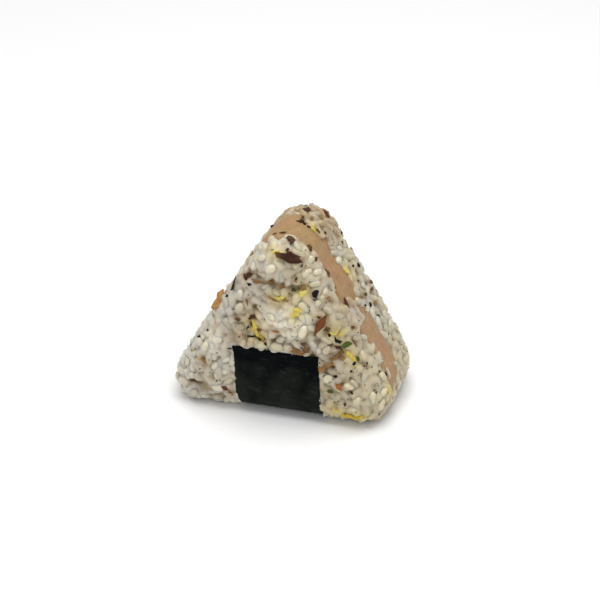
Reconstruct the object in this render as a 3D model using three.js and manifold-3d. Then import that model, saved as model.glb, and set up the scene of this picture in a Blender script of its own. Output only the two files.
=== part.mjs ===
// Onigiri: two halves of pressed rice with a slice of meat running through between them,
// and a strip of nori wrapped up the front, under the base and up the back.
// Millimetres, +Z up, the front faces -Y. The nori's underside is the floor.

import * as THREE from 'three';
import { mergeVertices } from 'three/addons/utils/BufferGeometryUtils.js';
import { MeshSurfaceSampler } from 'three/addons/math/MeshSurfaceSampler.js';
import Module from 'manifold-3d';

const wasm = await Module();
wasm.setup();

// Whole rice ball, over its grains
const WIDTH = 94.6;
const HEIGHT = 82.6;
const APEX_RADIUS = 14;
const CORNER_RADIUS = 11;
const FRONT_BASE_DEPTH = 25.3;
const FRONT_TOP_DEPTH = 20.5;
const BACK_BASE_DEPTH = 25.3;
const BACK_TOP_DEPTH = 26;
const EDGE_ROUNDING = 10;
const LEFT_BOW = 0.5;
const RIGHT_BOW = 1.4;
const BOW_ENDS = 6;
const BOW_FADE = 10;
const BOW_DIRECTION = new THREE.Vector2(0.85, 0.5);
const SIDEWAYS_SKEW = 0.08;
const SMALLEST_RADIUS = 2;
const MIDDLE_HEIGHT = HEIGHT * 0.4;

// Layers
const GAP = 0.35;
const GRAIN_PROUD = 1.3;
const MEAT_FRONT = -10.6;
const MEAT_BACK = 5;
const MEAT_PROUD = 0.7;
const MEAT_EDGE = 1.2;
const MEAT_BULGE = 0.2;
const MEAT_UNEVENNESS = 0.004;

// Nori strip
const NORI_THICKNESS = 0.5;
const NORI_HALF_WIDTH = 18.6;
const NORI_TOP = 33.5;
const NORI_LEAN = 0.08;
const NORI_SHIFT = 1.5;
const NORI_WAVE = 0.35;
const NORI_RAGGED = 0.5;
const NORI_WAVE_FADE = 8;
const NORI_CLEARANCE = 1.2;
const NORI_SPACE_DEPTH = 4;
const NORI_COLUMNS = 10;
const NORI_ROWS = 30;

// Grains and flakes
const GRAIN_RADII = new THREE.Vector3(3.1, 1.5, 1.4);
const GRAIN_SPACING = 5.5;
const GRAIN_SUNK = 0.1;
const GRAIN_TILT = 0.2;
const GRAIN_SMALLEST = 0.88;
const GRAIN_LARGEST = 1.12;
const GRAIN_FROM_MEAT = 1.8;
const GRAIN_FROM_NORI = 3.6;
const GRAIN_LOWEST_NORMAL = -0.8;
const FLAKE_HALF_THICKNESS = 1.9;
const GRAINS_PER_HALF = 90;
const SAMPLE_TRIES = 9000;
const RICE_CUT_HEIGHT = 0.15;
const CUT_SIZE = 200;

const OUTLINE_POINTS = 54;
const BASE_HEIGHT = NORI_THICKNESS + GAP;
const UP = new THREE.Vector3(0, 0, 1);

// Soft swellings of the pressed rice: x, z, radius, height
const FRONT_SWELLINGS = [
  [4, 49, 10, 1.8],
  [-5, 70, 9, 1.2],
  [-32, 22, 11, 1.4],
  [33, 18, 11, 1.2],
  [-16, 50, 9, 0.8],
];
const BACK_SWELLINGS = [
  [-8, 52, 11, 1.6],
  [6, 70, 9, 1.0],
  [31, 22, 11, 1.3],
  [-32, 18, 10, 1.3],
  [15, 48, 8, 0.8],
];

// Larger seasoning flakes: x, z, half length, half width, turn in degrees
const FRONT_FLAKES = [
  [4, 74, 5.2, 2.2, 15],
  [18.5, 50.5, 4.4, 2.6, 75],
  [-27, 55, 3.6, 2.4, 60],
  [25.5, 36.5, 2.8, 1.6, 20],
  [-10, 65, 3.2, 1.4, 160],
  [30, 8.5, 3.0, 1.4, 10],
];
const BACK_FLAKES = [
  [-6, 70, 4.4, 2.2, 150],
  [-22, 48, 4.0, 2.2, 100],
  [24, 42, 3.4, 1.8, 40],
  [30, 12, 3.0, 1.5, 15],
];

const MATERIALS = {
  rice: new THREE.MeshStandardMaterial({ color: 0xd8d0b9, roughness: 0.5, metalness: 0 }),
  meat: new THREE.MeshStandardMaterial({ color: 0xb5966d, roughness: 0.55, metalness: 0 }),
  nori: new THREE.MeshStandardMaterial({ color: 0x191c1a, roughness: 0.6, metalness: 0 }),
};

function seededRandom(seed) {
  let state = seed;
  return () => {
    state = (state * 1664525 + 1013904223) % 4294967296;
    return state / 4294967296;
  };
}

// Rounded triangle, drawn anticlockwise in x and z; `inset` moves it inward all round
function outlinePoints(inset) {
  const cornerRadius = Math.max(CORNER_RADIUS - inset, SMALLEST_RADIUS);
  const apexRadius = Math.max(APEX_RADIUS - inset, SMALLEST_RADIUS);
  const cornerX = WIDTH / 2 - inset - cornerRadius;
  const cornerZ = BASE_HEIGHT + Math.max(inset - GRAIN_PROUD, 0) + cornerRadius;
  const apexZ = HEIGHT - inset - apexRadius;
  const toApex = new THREE.Vector2(-cornerX, apexZ - cornerZ);
  const side = toApex.angle() - Math.acos((cornerRadius - apexRadius) / toApex.length());
  const shape = new THREE.Shape();
  shape.absarc(cornerX, cornerZ, cornerRadius, -Math.PI / 2, side, false);
  shape.absarc(0, apexZ, apexRadius, side, Math.PI - side, false);
  shape.absarc(-cornerX, cornerZ, cornerRadius, Math.PI - side, Math.PI * 1.5, false);
  shape.closePath();
  return shape.getSpacedPoints(OUTLINE_POINTS).slice(0, OUTLINE_POINTS).map(bowed);
}

// The sloping sides bulge a little, the right one more
function bowed(point) {
  const most = point.x < 0 ? LEFT_BOW : RIGHT_BOW;
  const share = THREE.MathUtils.clamp((point.y - BOW_ENDS) / (HEIGHT - 2 * BOW_ENDS), 0, 1);
  const sideShare = THREE.MathUtils.clamp(Math.abs(point.x) / BOW_FADE, 0, 1);
  const bow = most * Math.sin(Math.PI * share) * sideShare;
  const outward = Math.sign(point.x) * BOW_DIRECTION.x;
  return new THREE.Vector2(point.x + outward * bow, point.y + BOW_DIRECTION.y * bow);
}

// Depth of the bare rice's face at a height; the faces lean together towards the apex
function faceDepth(front, z) {
  const base = front ? FRONT_BASE_DEPTH : BACK_BASE_DEPTH;
  const top = front ? FRONT_TOP_DEPTH : BACK_TOP_DEPTH;
  return THREE.MathUtils.lerp(base, top, z / HEIGHT) - GRAIN_PROUD;
}

// Middle of the strip on the front face, at a height; on the back it lies mirrored
function noriMiddle(z) {
  return NORI_SHIFT - NORI_LEAN * (z - NORI_TOP / 2);
}

// Distance of a point of a face outside the strip's outline; negative is under it
function fromNori(front, x, z) {
  const middle = front ? noriMiddle(z) : -noriMiddle(z);
  return Math.max(Math.abs(x - middle) - NORI_HALF_WIDTH, z - NORI_TOP);
}

// Swelling of a face at (x, z); it fades out under the nori, which lies flat
function swelling(front, x, z) {
  const list = front ? FRONT_SWELLINGS : BACK_SWELLINGS;
  const fade = THREE.MathUtils.smoothstep(fromNori(front, x, z), 1, 6);
  let height = 0;
  for (const [sx, sz, radius, rise] of list) {
    const squared = ((x - sx) ** 2 + (z - sz) ** 2) / radius ** 2;
    height += rise * Math.exp(-squared);
  }
  return height * fade;
}

// Closed solid from rings of equal point count, with a point at each end
function loft(rings, firstPole, lastPole) {
  const count = rings[0].length;
  const points = [firstPole, ...rings.flat(), lastPole];
  const triangles = [];
  const last = points.length - 1;
  for (let i = 0; i < count; i += 1) {
    const next = (i + 1) % count;
    triangles.push(0, 1 + next, 1 + i);
    for (let r = 0; r < rings.length - 1; r += 1) {
      const a = 1 + r * count;
      const b = a + count;
      triangles.push(a + i, a + next, b + next, a + i, b + next, b + i);
    }
    const end = 1 + (rings.length - 1) * count;
    triangles.push(last, end + i, end + next);
  }
  const geometry = new THREE.BufferGeometry().setFromPoints(points);
  geometry.setIndex(triangles);
  return geometry;
}

// Bare half of rice, from the flat face against the meat out to its rounded, leaning face
function riceCore(front) {
  const sign = front ? -1 : 1;
  const inner = front ? MEAT_FRONT - GAP : MEAT_BACK + GAP;
  const middle = new THREE.Vector2(0, MIDDLE_HEIGHT);
  const edgeSteps = 4;
  const faceScales = [0.72, 0.42, 0.16];
  const rings = [];
  rings.push(outlinePoints(GRAIN_PROUD).map((p) => new THREE.Vector3(p.x, inner, p.y)));
  for (let step = 0; step <= edgeSteps; step += 1) {
    const angle = (step / edgeSteps) * Math.PI * 0.5;
    const inset = EDGE_ROUNDING * (1 - Math.cos(angle));
    const back = EDGE_ROUNDING * (1 - Math.sin(angle));
    const faceShare = Math.sin(angle) ** 2;
    rings.push(outlinePoints(GRAIN_PROUD + inset).map((p) => {
      const depth = faceDepth(front, p.y) - back + swelling(front, p.x, p.y) * faceShare;
      return new THREE.Vector3(p.x, sign * depth, p.y);
    }));
  }
  for (const scale of faceScales) {
    rings.push(outlinePoints(GRAIN_PROUD + EDGE_ROUNDING).map((p) => {
      const q = p.clone().sub(middle).multiplyScalar(scale).add(middle);
      const depth = faceDepth(front, q.y) + swelling(front, q.x, q.y);
      return new THREE.Vector3(q.x, sign * depth, q.y);
    }));
  }
  const poleDepth = faceDepth(front, middle.y) + swelling(front, middle.x, middle.y);
  const innerPole = new THREE.Vector3(middle.x, inner, middle.y);
  const outerPole = new THREE.Vector3(middle.x, sign * poleDepth, middle.y);
  const geometry = front
    ? loft(rings, innerPole, outerPole)
    : loft(rings.reverse(), outerPole, innerPole);
  geometry.computeVertexNormals();
  return geometry;
}

function solid(geometry) {
  const plain = geometry.clone();
  plain.deleteAttribute('normal');
  plain.deleteAttribute('uv');
  const merged = mergeVertices(plain, 1e-5);
  return new wasm.Manifold(new wasm.Mesh({
    numProp: 3,
    vertProperties: new Float32Array(merged.attributes.position.array),
    triVerts: new Uint32Array(merged.index.array),
  }));
}

function geometryOf(manifold) {
  const mesh = manifold.getMesh();
  const geometry = new THREE.BufferGeometry();
  geometry.setAttribute('position', new THREE.BufferAttribute(Float32Array.from(mesh.vertProperties), 3));
  geometry.setIndex(Array.from(mesh.triVerts));
  geometry.computeVertexNormals();
  return geometry;
}

// Largest closed shell: loose scraps are dropped and sealed hollows are filled
function largestShell(manifold) {
  const pieces = manifold.decompose();
  return pieces.reduce((best, piece) => (piece.volume() > best.volume() ? piece : best));
}

// Grains pressed into the outside of a half, spaced apart and turned at random
function grainSolids(core, front, random) {
  const sampler = new MeshSurfaceSampler(new THREE.Mesh(core)).setRandomGenerator(random).build();
  const inner = front ? MEAT_FRONT : MEAT_BACK;
  const placed = [];
  const grains = [];
  const point = new THREE.Vector3();
  const normal = new THREE.Vector3();
  for (let tries = 0; tries < SAMPLE_TRIES && grains.length < GRAINS_PER_HALF; tries += 1) {
    sampler.sample(point, normal);
    const fromMeat = Math.abs(point.y - inner);
    const lowFace = normal.z < GRAIN_LOWEST_NORMAL;
    const nearNori = fromNori(front, point.x, point.z) < GRAIN_FROM_NORI;
    const free = placed.every((other) => other.distanceTo(point) > GRAIN_SPACING);
    if (fromMeat < GRAIN_FROM_MEAT || lowFace || nearNori || !free) continue;
    placed.push(point.clone());
    const turn = new THREE.Quaternion().setFromUnitVectors(UP, normal);
    const spin = new THREE.Quaternion().setFromAxisAngle(UP, random() * Math.PI * 2);
    const tiltAngle = (random() - 0.5) * 2 * GRAIN_TILT;
    const tilt = new THREE.Quaternion().setFromAxisAngle(new THREE.Vector3(0, 1, 0), tiltAngle);
    turn.multiply(spin).multiply(tilt);
    const scale = THREE.MathUtils.lerp(GRAIN_SMALLEST, GRAIN_LARGEST, random());
    const size = GRAIN_RADII.clone().multiplyScalar(scale);
    const centre = point.clone().addScaledVector(normal, -GRAIN_SUNK);
    const matrix = new THREE.Matrix4().compose(centre, turn, size);
    grains.push(solid(new THREE.IcosahedronGeometry(1, 0).applyMatrix4(matrix)));
  }
  return grains;
}

// Flat flakes lying on a face, lens-like, half sunk into the rice
function flakeSolids(front) {
  const sign = front ? -1 : 1;
  const list = front ? FRONT_FLAKES : BACK_FLAKES;
  return list.map(([x, z, halfLength, halfWidth, degrees]) => {
    const depth = faceDepth(front, z) + swelling(front, x, z);
    const geometry = new THREE.OctahedronGeometry(1, 0);
    geometry.scale(halfLength, FLAKE_HALF_THICKNESS, halfWidth);
    geometry.rotateY(THREE.MathUtils.degToRad(-degrees));
    geometry.translate(x, sign * depth, z);
    return solid(geometry);
  });
}

// Path of the nori in y and z: up the front, round the two lower edges, up the back
function noriPath(offset, top) {
  const bend = EDGE_ROUNDING + offset;
  const centreZ = BASE_HEIGHT + EDGE_ROUNDING;
  const frontY = -(faceDepth(true, centreZ) - EDGE_ROUNDING);
  const backY = faceDepth(false, centreZ) - EDGE_ROUNDING;
  const profile = new THREE.Path();
  profile.moveTo(-(faceDepth(true, top) + offset), top);
  profile.lineTo(frontY - bend, centreZ);
  profile.absarc(frontY, centreZ, bend, Math.PI, Math.PI * 1.5, false);
  profile.absarc(backY, centreZ, bend, Math.PI * 1.5, Math.PI * 2, false);
  profile.lineTo(faceDepth(false, top) + offset, top);
  return profile.getSpacedPoints(NORI_ROWS);
}

// Thin strip between two offsets from the bare rice, both faces split alike
function noriStrip(innerOffset, outerOffset, halfWidth, top) {
  const layers = [noriPath(innerOffset, top), noriPath(outerOffset, top)];
  const rows = NORI_ROWS + 1;
  const columns = NORI_COLUMNS + 1;
  const points = [];
  for (const layer of layers) {
    for (let row = 0; row < rows; row += 1) {
      for (let column = 0; column < columns; column += 1) {
        const across = (column / NORI_COLUMNS) * 2 - 1;
        const { x: y, y: z } = layer[row];
        const raised = THREE.MathUtils.smoothstep(z, EDGE_ROUNDING, EDGE_ROUNDING + NORI_WAVE_FADE);
        const wave = NORI_WAVE * raised * (0.5 + 0.5 * Math.sin(across * 5 + row * 0.55));
        const tear = Math.sin(row * 1.9 + Math.sign(across)) * Math.abs(across) ** 4;
        const ragged = NORI_RAGGED * raised * tear;
        const side = THREE.MathUtils.clamp(-y / NORI_HALF_WIDTH, -1, 1);
        const x = noriMiddle(z) * side + across * halfWidth + ragged;
        points.push(new THREE.Vector3(x, y + Math.sign(y) * wave, z));
      }
    }
  }
  const index = (layer, row, column) => (layer * rows + row) * columns + column;
  const triangles = [];
  const quad = (a, b, c, d) => triangles.push(a, b, c, a, c, d);
  for (let row = 0; row < NORI_ROWS; row += 1) {
    for (let column = 0; column < NORI_COLUMNS; column += 1) {
      const corners = (layer) => [
        index(layer, row, column),
        index(layer, row + 1, column),
        index(layer, row + 1, column + 1),
        index(layer, row, column + 1),
      ];
      quad(...corners(1));
      quad(...corners(0).reverse());
    }
    quad(index(0, row, 0), index(0, row + 1, 0), index(1, row + 1, 0), index(1, row, 0));
    const far = NORI_COLUMNS;
    quad(index(1, row, far), index(1, row + 1, far), index(0, row + 1, far), index(0, row, far));
  }
  for (let column = 0; column < NORI_COLUMNS; column += 1) {
    quad(index(0, 0, column), index(1, 0, column), index(1, 0, column + 1), index(0, 0, column + 1));
    const end = NORI_ROWS;
    quad(index(1, end, column), index(0, end, column), index(0, end, column + 1), index(1, end, column + 1));
  }
  const geometry = new THREE.BufferGeometry().setFromPoints(points);
  geometry.setIndex(triangles);
  geometry.computeVertexNormals();
  return geometry;
}

// Slice of meat the full height and width of the rice ball, its rim slightly soft and uneven
function meatSlice() {
  const ring = (inset, y) => outlinePoints(GRAIN_PROUD - MEAT_PROUD + inset).map((p, i) => {
    const angle = (i / OUTLINE_POINTS) * Math.PI * 2;
    const waves = Math.sin(angle * 5 + 1) + 0.75 * Math.sin(angle * 9 + y);
    const uneven = 1 + MEAT_UNEVENNESS * waves;
    const lift = Math.max(p.y * uneven, BASE_HEIGHT);
    return new THREE.Vector3(p.x * uneven, y, lift);
  });
  const middle = (y) => new THREE.Vector3(0, y, MIDDLE_HEIGHT);
  const rings = [
    ring(MEAT_EDGE, MEAT_BACK),
    ring(0, MEAT_BACK - MEAT_EDGE),
    ring(-MEAT_BULGE, (MEAT_FRONT + MEAT_BACK) / 2),
    ring(0, MEAT_FRONT + MEAT_EDGE),
    ring(MEAT_EDGE, MEAT_FRONT),
  ];
  return loft(rings, middle(MEAT_BACK), middle(MEAT_FRONT));
}

// One half of rice: core, grains and flakes in one body, cut clear of its neighbours
function riceHalf(front, seed) {
  const random = seededRandom(seed);
  const core = riceCore(front);
  let body = solid(core);
  for (const piece of [...grainSolids(core, front, random), ...flakeSolids(front)]) {
    body = body.add(piece);
  }
  const meatThickness = MEAT_BACK - MEAT_FRONT + 2 * GAP;
  const meatSpace = new THREE.BoxGeometry(CUT_SIZE, meatThickness, CUT_SIZE);
  meatSpace.translate(0, (MEAT_FRONT + MEAT_BACK) / 2, 0);
  const below = new THREE.BoxGeometry(CUT_SIZE, CUT_SIZE, CUT_SIZE);
  below.translate(0, 0, RICE_CUT_HEIGHT - CUT_SIZE / 2);
  const noriSpace = noriStrip(
    0.02,
    NORI_SPACE_DEPTH,
    NORI_HALF_WIDTH + NORI_CLEARANCE,
    NORI_TOP + NORI_CLEARANCE,
  );
  for (const space of [meatSpace, below, noriSpace]) {
    body = body.subtract(solid(space));
  }
  return geometryOf(largestShell(body));
}

function named(name, geometry, material) {
  const mesh = new THREE.Mesh(geometry, material);
  mesh.name = name;
  return mesh;
}

const onigiri = new THREE.Group();
onigiri.name = 'onigiri';
onigiri.add(named('rice_front', riceHalf(true, 11), MATERIALS.rice));
onigiri.add(named('meat_slice', meatSlice(), MATERIALS.meat));
onigiri.add(named('rice_back', riceHalf(false, 29), MATERIALS.rice));
const nori = noriStrip(GAP, GAP + NORI_THICKNESS, NORI_HALF_WIDTH, NORI_TOP);
onigiri.add(named('nori_strip', nori, MATERIALS.nori));

// The back was pressed a little to the right of the front
const skew = new THREE.Matrix4().makeShear(0, 0, SIDEWAYS_SKEW, 0, 0, 0);
for (const mesh of onigiri.children) {
  mesh.geometry.applyMatrix4(skew);
}

// The origin is the middle of the whole box, at the floor
const box = new THREE.Box3().setFromObject(onigiri);
const centre = box.getCenter(new THREE.Vector3());
for (const mesh of onigiri.children) {
  mesh.geometry.translate(-centre.x, -centre.y, -box.min.z);
}

export default onigiri;
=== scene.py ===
"""Onigiri: seasoned pressed rice in two halves, a slice of meat between them and a nori strip.

Metres in the scene; the shapes below are worked out in millimetres and scaled by MM.
The front faces -Y and the apex is up.
"""

import math

import bpy
import numpy as np
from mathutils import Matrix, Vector, kdtree, noise
from mathutils.bvhtree import BVHTree


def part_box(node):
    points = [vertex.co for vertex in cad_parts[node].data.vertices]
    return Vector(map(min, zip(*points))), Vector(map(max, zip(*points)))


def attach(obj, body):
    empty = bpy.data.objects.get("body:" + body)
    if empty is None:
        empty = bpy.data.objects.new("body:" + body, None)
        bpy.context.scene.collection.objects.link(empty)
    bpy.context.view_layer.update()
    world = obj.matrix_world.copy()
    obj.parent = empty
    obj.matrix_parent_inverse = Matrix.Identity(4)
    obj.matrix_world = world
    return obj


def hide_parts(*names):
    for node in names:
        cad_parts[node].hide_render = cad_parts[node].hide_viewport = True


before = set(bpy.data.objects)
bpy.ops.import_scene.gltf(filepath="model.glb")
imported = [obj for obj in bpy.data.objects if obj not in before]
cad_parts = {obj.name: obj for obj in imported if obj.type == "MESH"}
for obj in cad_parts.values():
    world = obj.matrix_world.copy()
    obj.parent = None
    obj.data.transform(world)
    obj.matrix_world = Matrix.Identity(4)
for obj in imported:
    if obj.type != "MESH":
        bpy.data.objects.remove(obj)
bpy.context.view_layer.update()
MM = 0.001


# Camera
# The photograph looks down on the front and the right side, from about arm's length.
# The middle of the rice ball lies a little left of and below the picture's middle.

CAMERA_TURN = math.radians(14.83)
CAMERA_RISE = math.radians(33.03)
CAMERA_DISTANCE = 0.8
LOOK_POINT = Vector((0.0, 0.0, 0.0367))
LOOK_PIXEL = (293.3, 315.7)
PICTURE_PIXELS = 600
PIXEL_SIZE = 0.00043
SENSOR = 36.0

outward = Vector((
    math.sin(CAMERA_TURN) * math.cos(CAMERA_RISE),
    -math.cos(CAMERA_TURN) * math.cos(CAMERA_RISE),
    math.sin(CAMERA_RISE),
))
rightward = Vector((math.cos(CAMERA_TURN), math.sin(CAMERA_TURN), 0.0))
upward = outward.cross(rightward)
half_picture = PICTURE_PIXELS / 2
aim = (
    LOOK_POINT
    + rightward * (half_picture - LOOK_PIXEL[0]) * PIXEL_SIZE
    + upward * (LOOK_PIXEL[1] - half_picture) * PIXEL_SIZE
)
focal_pixels = CAMERA_DISTANCE / PIXEL_SIZE
camera_data = bpy.data.cameras.new("camera")
camera_data.sensor_width = SENSOR
camera_data.lens = focal_pixels * SENSOR / PICTURE_PIXELS
camera = bpy.data.objects.new("camera", camera_data)
camera.location = LOOK_POINT + outward * CAMERA_DISTANCE
camera.rotation_euler = (aim - camera.location).to_track_quat("-Z", "Y").to_euler()
bpy.context.collection.objects.link(camera)
bpy.context.scene.camera = camera
camera_axes = camera.rotation_euler.to_matrix()


def photo_ray(column, row):
    """Direction from the camera through a pixel of the photograph."""
    across = column - half_picture
    down = row - half_picture
    return (camera_axes @ Vector((across, -down, -focal_pixels))).normalized()


# Rice
# Cooked short-grain rice, pressed in a mould into two soft-edged triangles that lean together
# towards the apex. The sticky grains have sunk into each other; only their backs stand out.

WIDTH = 94.6
HEIGHT = 82.6
APEX_RADIUS = 14.0
CORNER_RADIUS = 11.0
SMALLEST_RADIUS = 2.0
ARC_POINTS = 40
OUTLINE_POINTS = 220
BASE_DEPTH = 25.3
TOP_DEPTH = {"rice_front": 20.5, "rice_back": 26.0}
SIDEWAYS_SKEW = 0.08
EDGE_ROUNDING = 10.0
EDGE_STEPS = 10
RICE_BASE = 0.9
FLOOR_CONTACT = 0.15
MEAT_GAP = 0.2
MEAT_BEFORE_MIDDLE = 10.6
SIDE = {"rice_front": -1.0, "rice_back": 1.0}
meat_low, meat_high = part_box("meat_slice")
MEAT_FRONT = meat_low[1] / MM
MEAT_BACK = meat_high[1] / MM
MIDDLE = MEAT_FRONT + MEAT_BEFORE_MIDDLE
FACE_CENTRE = np.array([0.0, HEIGHT * 0.4])

# The slanted sides bow outwards between the corners and the apex
LEFT_BOW = 0.5
RIGHT_BOW = 1.4
BOW_MARGIN = 6.0
BOW_FADE = 10.0
SIDE_NORMAL = (0.85, 0.5)

# Rings that make a half's skin: shares of the outline on its flat back, of the way along its rim
# and of the outline on its face
BACK_RINGS = (0.35, 0.7, 0.97)
RIM_RINGS = (0.0, 0.5)
FACE_RINGS = np.linspace(0.96, 0.04, 26)
FLAT_BACK = 0.005

# Swellings and creases fade out where the face turns away
FACING_GAIN = 1.4
FACING_LOSS = 0.4

# Grains: the pressed bed, and a looser layer on it that stands out further
GRAIN_HALF_SIZE = (2.85, 1.85, 1.65)
GRAIN_ROWS = 7
GRAIN_COLUMNS = 8
GRAIN_BLUNTNESS = 0.8
GRAIN_TAPER = 0.12
GRAIN_BEND = 0.12
GRAIN_PROUD = 1.5
PRESSED_SIZES = (0.88, 1.08)
BED_SPACING = 3.0
BED_TILT = 0.35
BED_SINK = -0.7
TOP_SPACING = 4.2
TOP_TILT = 0.2
TOP_SINK = 0.45
DENSITY_LIMIT = 4.0e6
BASE_NORMAL = -0.85
BASE_ROOM = 0.4
CREASE_WITHOUT_GRAINS = 2.0
TINT_POWER = 1.5
VOXEL = 0.5

# The nori strip's outline on a face, where the rice is pressed flat and has no loose grains
NORI_HALF_WIDTH = 18.6
NORI_TOP = 33.5
NORI_SHIFT = 1.5
NORI_LEAN = 0.08
NORI_FADE = 3.0
NORI_MARGIN = 2.5
NORI_BED = 0.55
PRESSED_MARGIN = 0.4

# Towards the apex the meat's rim leans back over the rice, more so on the left
LEAN_START = 58.0
LEAN_RISE = 22.0
LEAN = 5.6
LEAN_LEFT = 3.0
LEAN_LEFT_SPAN = 8.0

# Rounds to find a place on the sloping face, and points for each corner of a crease
SLOPE_ROUNDS = 6
CREASE_STEPS = 8

# Uneven lumps all over the pressed rice: length and height
COARSE_LUMP = (11.0, 0.9)
FINE_LUMP = (5.0, 0.4)

# Swellings of the pressed faces: x, z, radius, height
SWELLINGS = {
    "rice_front": [
        (5.0, 50.0, 8.5, 2.4),
        (-3.5, 75.0, 7.0, 1.4),
        (-15.0, 52.0, 7.0, 1.2),
        (-30.0, 31.0, 8.0, 1.2),
        (-34.0, 16.0, 8.0, 0.8),
        (32.0, 18.0, 10.0, 1.2),
        (15.0, 66.0, 6.0, 1.2),
        (27.0, 46.0, 6.5, 1.2),
    ],
    "rice_back": [
        (-8.0, 52.0, 10.0, 1.8),
        (5.0, 70.0, 8.0, 1.1),
        (31.0, 22.0, 11.0, 1.2),
        (-32.0, 18.0, 10.0, 1.2),
        (16.0, 47.0, 7.0, 0.9),
        (2.0, 60.5, 9.0, -0.9),
        (-2.0, 38.0, 9.0, -1.0),
    ],
}

# Creases between the clumps of the front face, which the back repeats: width, depth, then
# picture columns and rows
CREASES = [
    (2.2, 1.9, [(243, 271), (252, 278), (264, 283), (278, 285), (292, 290), (310, 291)]),
    (2.2, 1.7, [(262, 298), (254, 308), (251, 322), (252, 334), (262, 343)]),
    (2.2, 1.7, [(262, 339), (280, 341), (300, 340), (314, 335), (321, 322), (324, 308)]),
    (2.0, 1.7, [(321, 338), (332, 347), (340, 356), (334, 366), (326, 372)]),
    (2.0, 1.4, [(240, 303), (233, 316), (243, 326), (250, 336)]),
    (2.6, 4.5, [(190, 384), (198, 386), (206, 390)]),
    (2.4, 4.5, [(211, 399), (217, 398), (222, 401)]),
    (1.6, 0.8, [(300, 262), (296, 275), (302, 287)]),
    (1.8, 1.2, [(204, 342), (201, 356), (208, 366)]),
    (1.8, 1.2, [(360, 372), (372, 376), (384, 382)]),
]

# Milky, paler clumps of the front face: picture column and row, radius, share
MILKY_SPOTS = [
    (287, 320, 12.0, 1.0), (272, 252, 8.0, 0.5), (212, 342, 7.0, 0.6),
    (314, 274, 7.0, 0.8), (300, 302, 7.0, 0.5), (363, 372, 7.0, 0.3),
]

# Mushy patches of the front face, where grains hardly show: picture column and row, radius, share
MUSHY_SPOTS = [
    (370, 393, 14.0, 0.55), (268, 258, 8.0, 0.35), (224, 305, 8.0, 0.35),
    (340, 322, 7.0, 0.3), (203, 376, 7.0, 0.3), (219, 321, 8.0, 0.5),
]

# Where rice laps over the meat's rim: x, z, radius, reach
RIM_LAPS = {
    "rice_front": [
        (28.5, 47.4, 6.0, 6.0), (44.0, 14.0, 7.0, 3.0), (39.0, 27.0, 6.0, 3.0), (12.0, 76.0, 5.0, 1.5),
    ],
    "rice_back": [
        (28.5, 47.4, 7.0, 3.0), (17.0, 68.0, 5.0, 2.0), (46.0, 12.0, 6.0, 5.0), (7.5, 77.5, 6.0, 6.0),
    ],
}
LAP_HEIGHT_SHARE = 0.3
LAP_LENGTH = 7.0
RIM_LAP = 1.0
RIM_UNEVENNESS = 1.8
RIM_WAVE = 6.0


def evenly_spaced(path, count, closed):
    """Points at even steps along a path; a closed one doesn't repeat its start."""
    along = np.concatenate([[0.0], np.cumsum(np.hypot(*np.diff(path, axis=0).T))])
    wanted = np.linspace(0.0, along[-1], count, endpoint=not closed)
    return np.stack([np.interp(wanted, along, path[:, axis]) for axis in (0, 1)], 1)


def rounded_triangle(inset, count):
    """Points in x and z round the rice ball's outline, moved inward by inset."""
    corner = max(CORNER_RADIUS - inset, SMALLEST_RADIUS)
    apex = max(APEX_RADIUS - inset, SMALLEST_RADIUS)
    corner_x = WIDTH / 2 - inset - corner
    corner_z = RICE_BASE + max(inset - GRAIN_PROUD, 0.0) + corner
    apex_z = HEIGHT - inset - apex
    rise = apex_z - corner_z
    side = math.atan2(rise, -corner_x) - math.acos((corner - apex) / math.hypot(corner_x, rise))
    arcs = (
        (corner_x, corner_z, corner, -math.pi / 2, side),
        (0.0, apex_z, apex, side, math.pi - side),
        (-corner_x, corner_z, corner, math.pi - side, math.pi * 1.5),
    )
    points = []
    for x, z, radius, start, end in arcs:
        angles = np.linspace(start, end, ARC_POINTS)
        points.append(np.stack([x + radius * np.cos(angles), z + radius * np.sin(angles)], 1))
    x, z = evenly_spaced(np.concatenate(points + [points[0][:1]]), count, closed=True).T
    bow = np.where(x < 0.0, LEFT_BOW, RIGHT_BOW)
    bow = bow * np.sin(math.pi * np.clip((z - BOW_MARGIN) / (HEIGHT - 2 * BOW_MARGIN), 0.0, 1.0))
    bow = bow * np.clip(np.abs(x) / BOW_FADE, 0.0, 1.0)
    return np.stack([x + np.sign(x) * bow * SIDE_NORMAL[0], z + bow * SIDE_NORMAL[1]], 1)


def face_depth(node, z):
    """Distance of a bare face from the middle, at a height."""
    return BASE_DEPTH + (TOP_DEPTH[node] - BASE_DEPTH) * z / HEIGHT - GRAIN_PROUD


def unskewed(x, y):
    """x as it was before the back was pressed a little to the right of the front."""
    return x - SIDEWAYS_SKEW * (y - MIDDLE)


def skewed(points):
    """Points moved sideways with depth, as the halves were pressed."""
    points = np.array(points, dtype=float)
    points[:, 0] += SIDEWAYS_SKEW * (points[:, 1] - MIDDLE)
    return points


def front_place(column, row):
    """x and z, before the skew, where a pixel of the photograph meets the sloping front face."""
    ray = photo_ray(column, row)
    z = HEIGHT / 2
    for _ in range(SLOPE_ROUNDS):
        y = MIDDLE - face_depth("rice_front", z) - GRAIN_PROUD
        point = (camera.location + ray * ((y * MM - camera.location.y) / ray.y)) / MM
        z = point.z
    return unskewed(point.x, point.y), point.z


def mound(x, z, middle_x, middle_z, radius, height):
    """Height of a soft round mound at points of a face."""
    return height * np.exp(-((x - middle_x) ** 2 + (z - middle_z) ** 2) / radius ** 2)


def spotted(spots, x, z):
    """Share at points of the front face of something that lies in soft round spots."""
    share = np.zeros(len(x))
    for column, row, radius, most in spots:
        share = np.maximum(share, mound(x, z, *front_place(column, row), radius, most))
    return share


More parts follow.
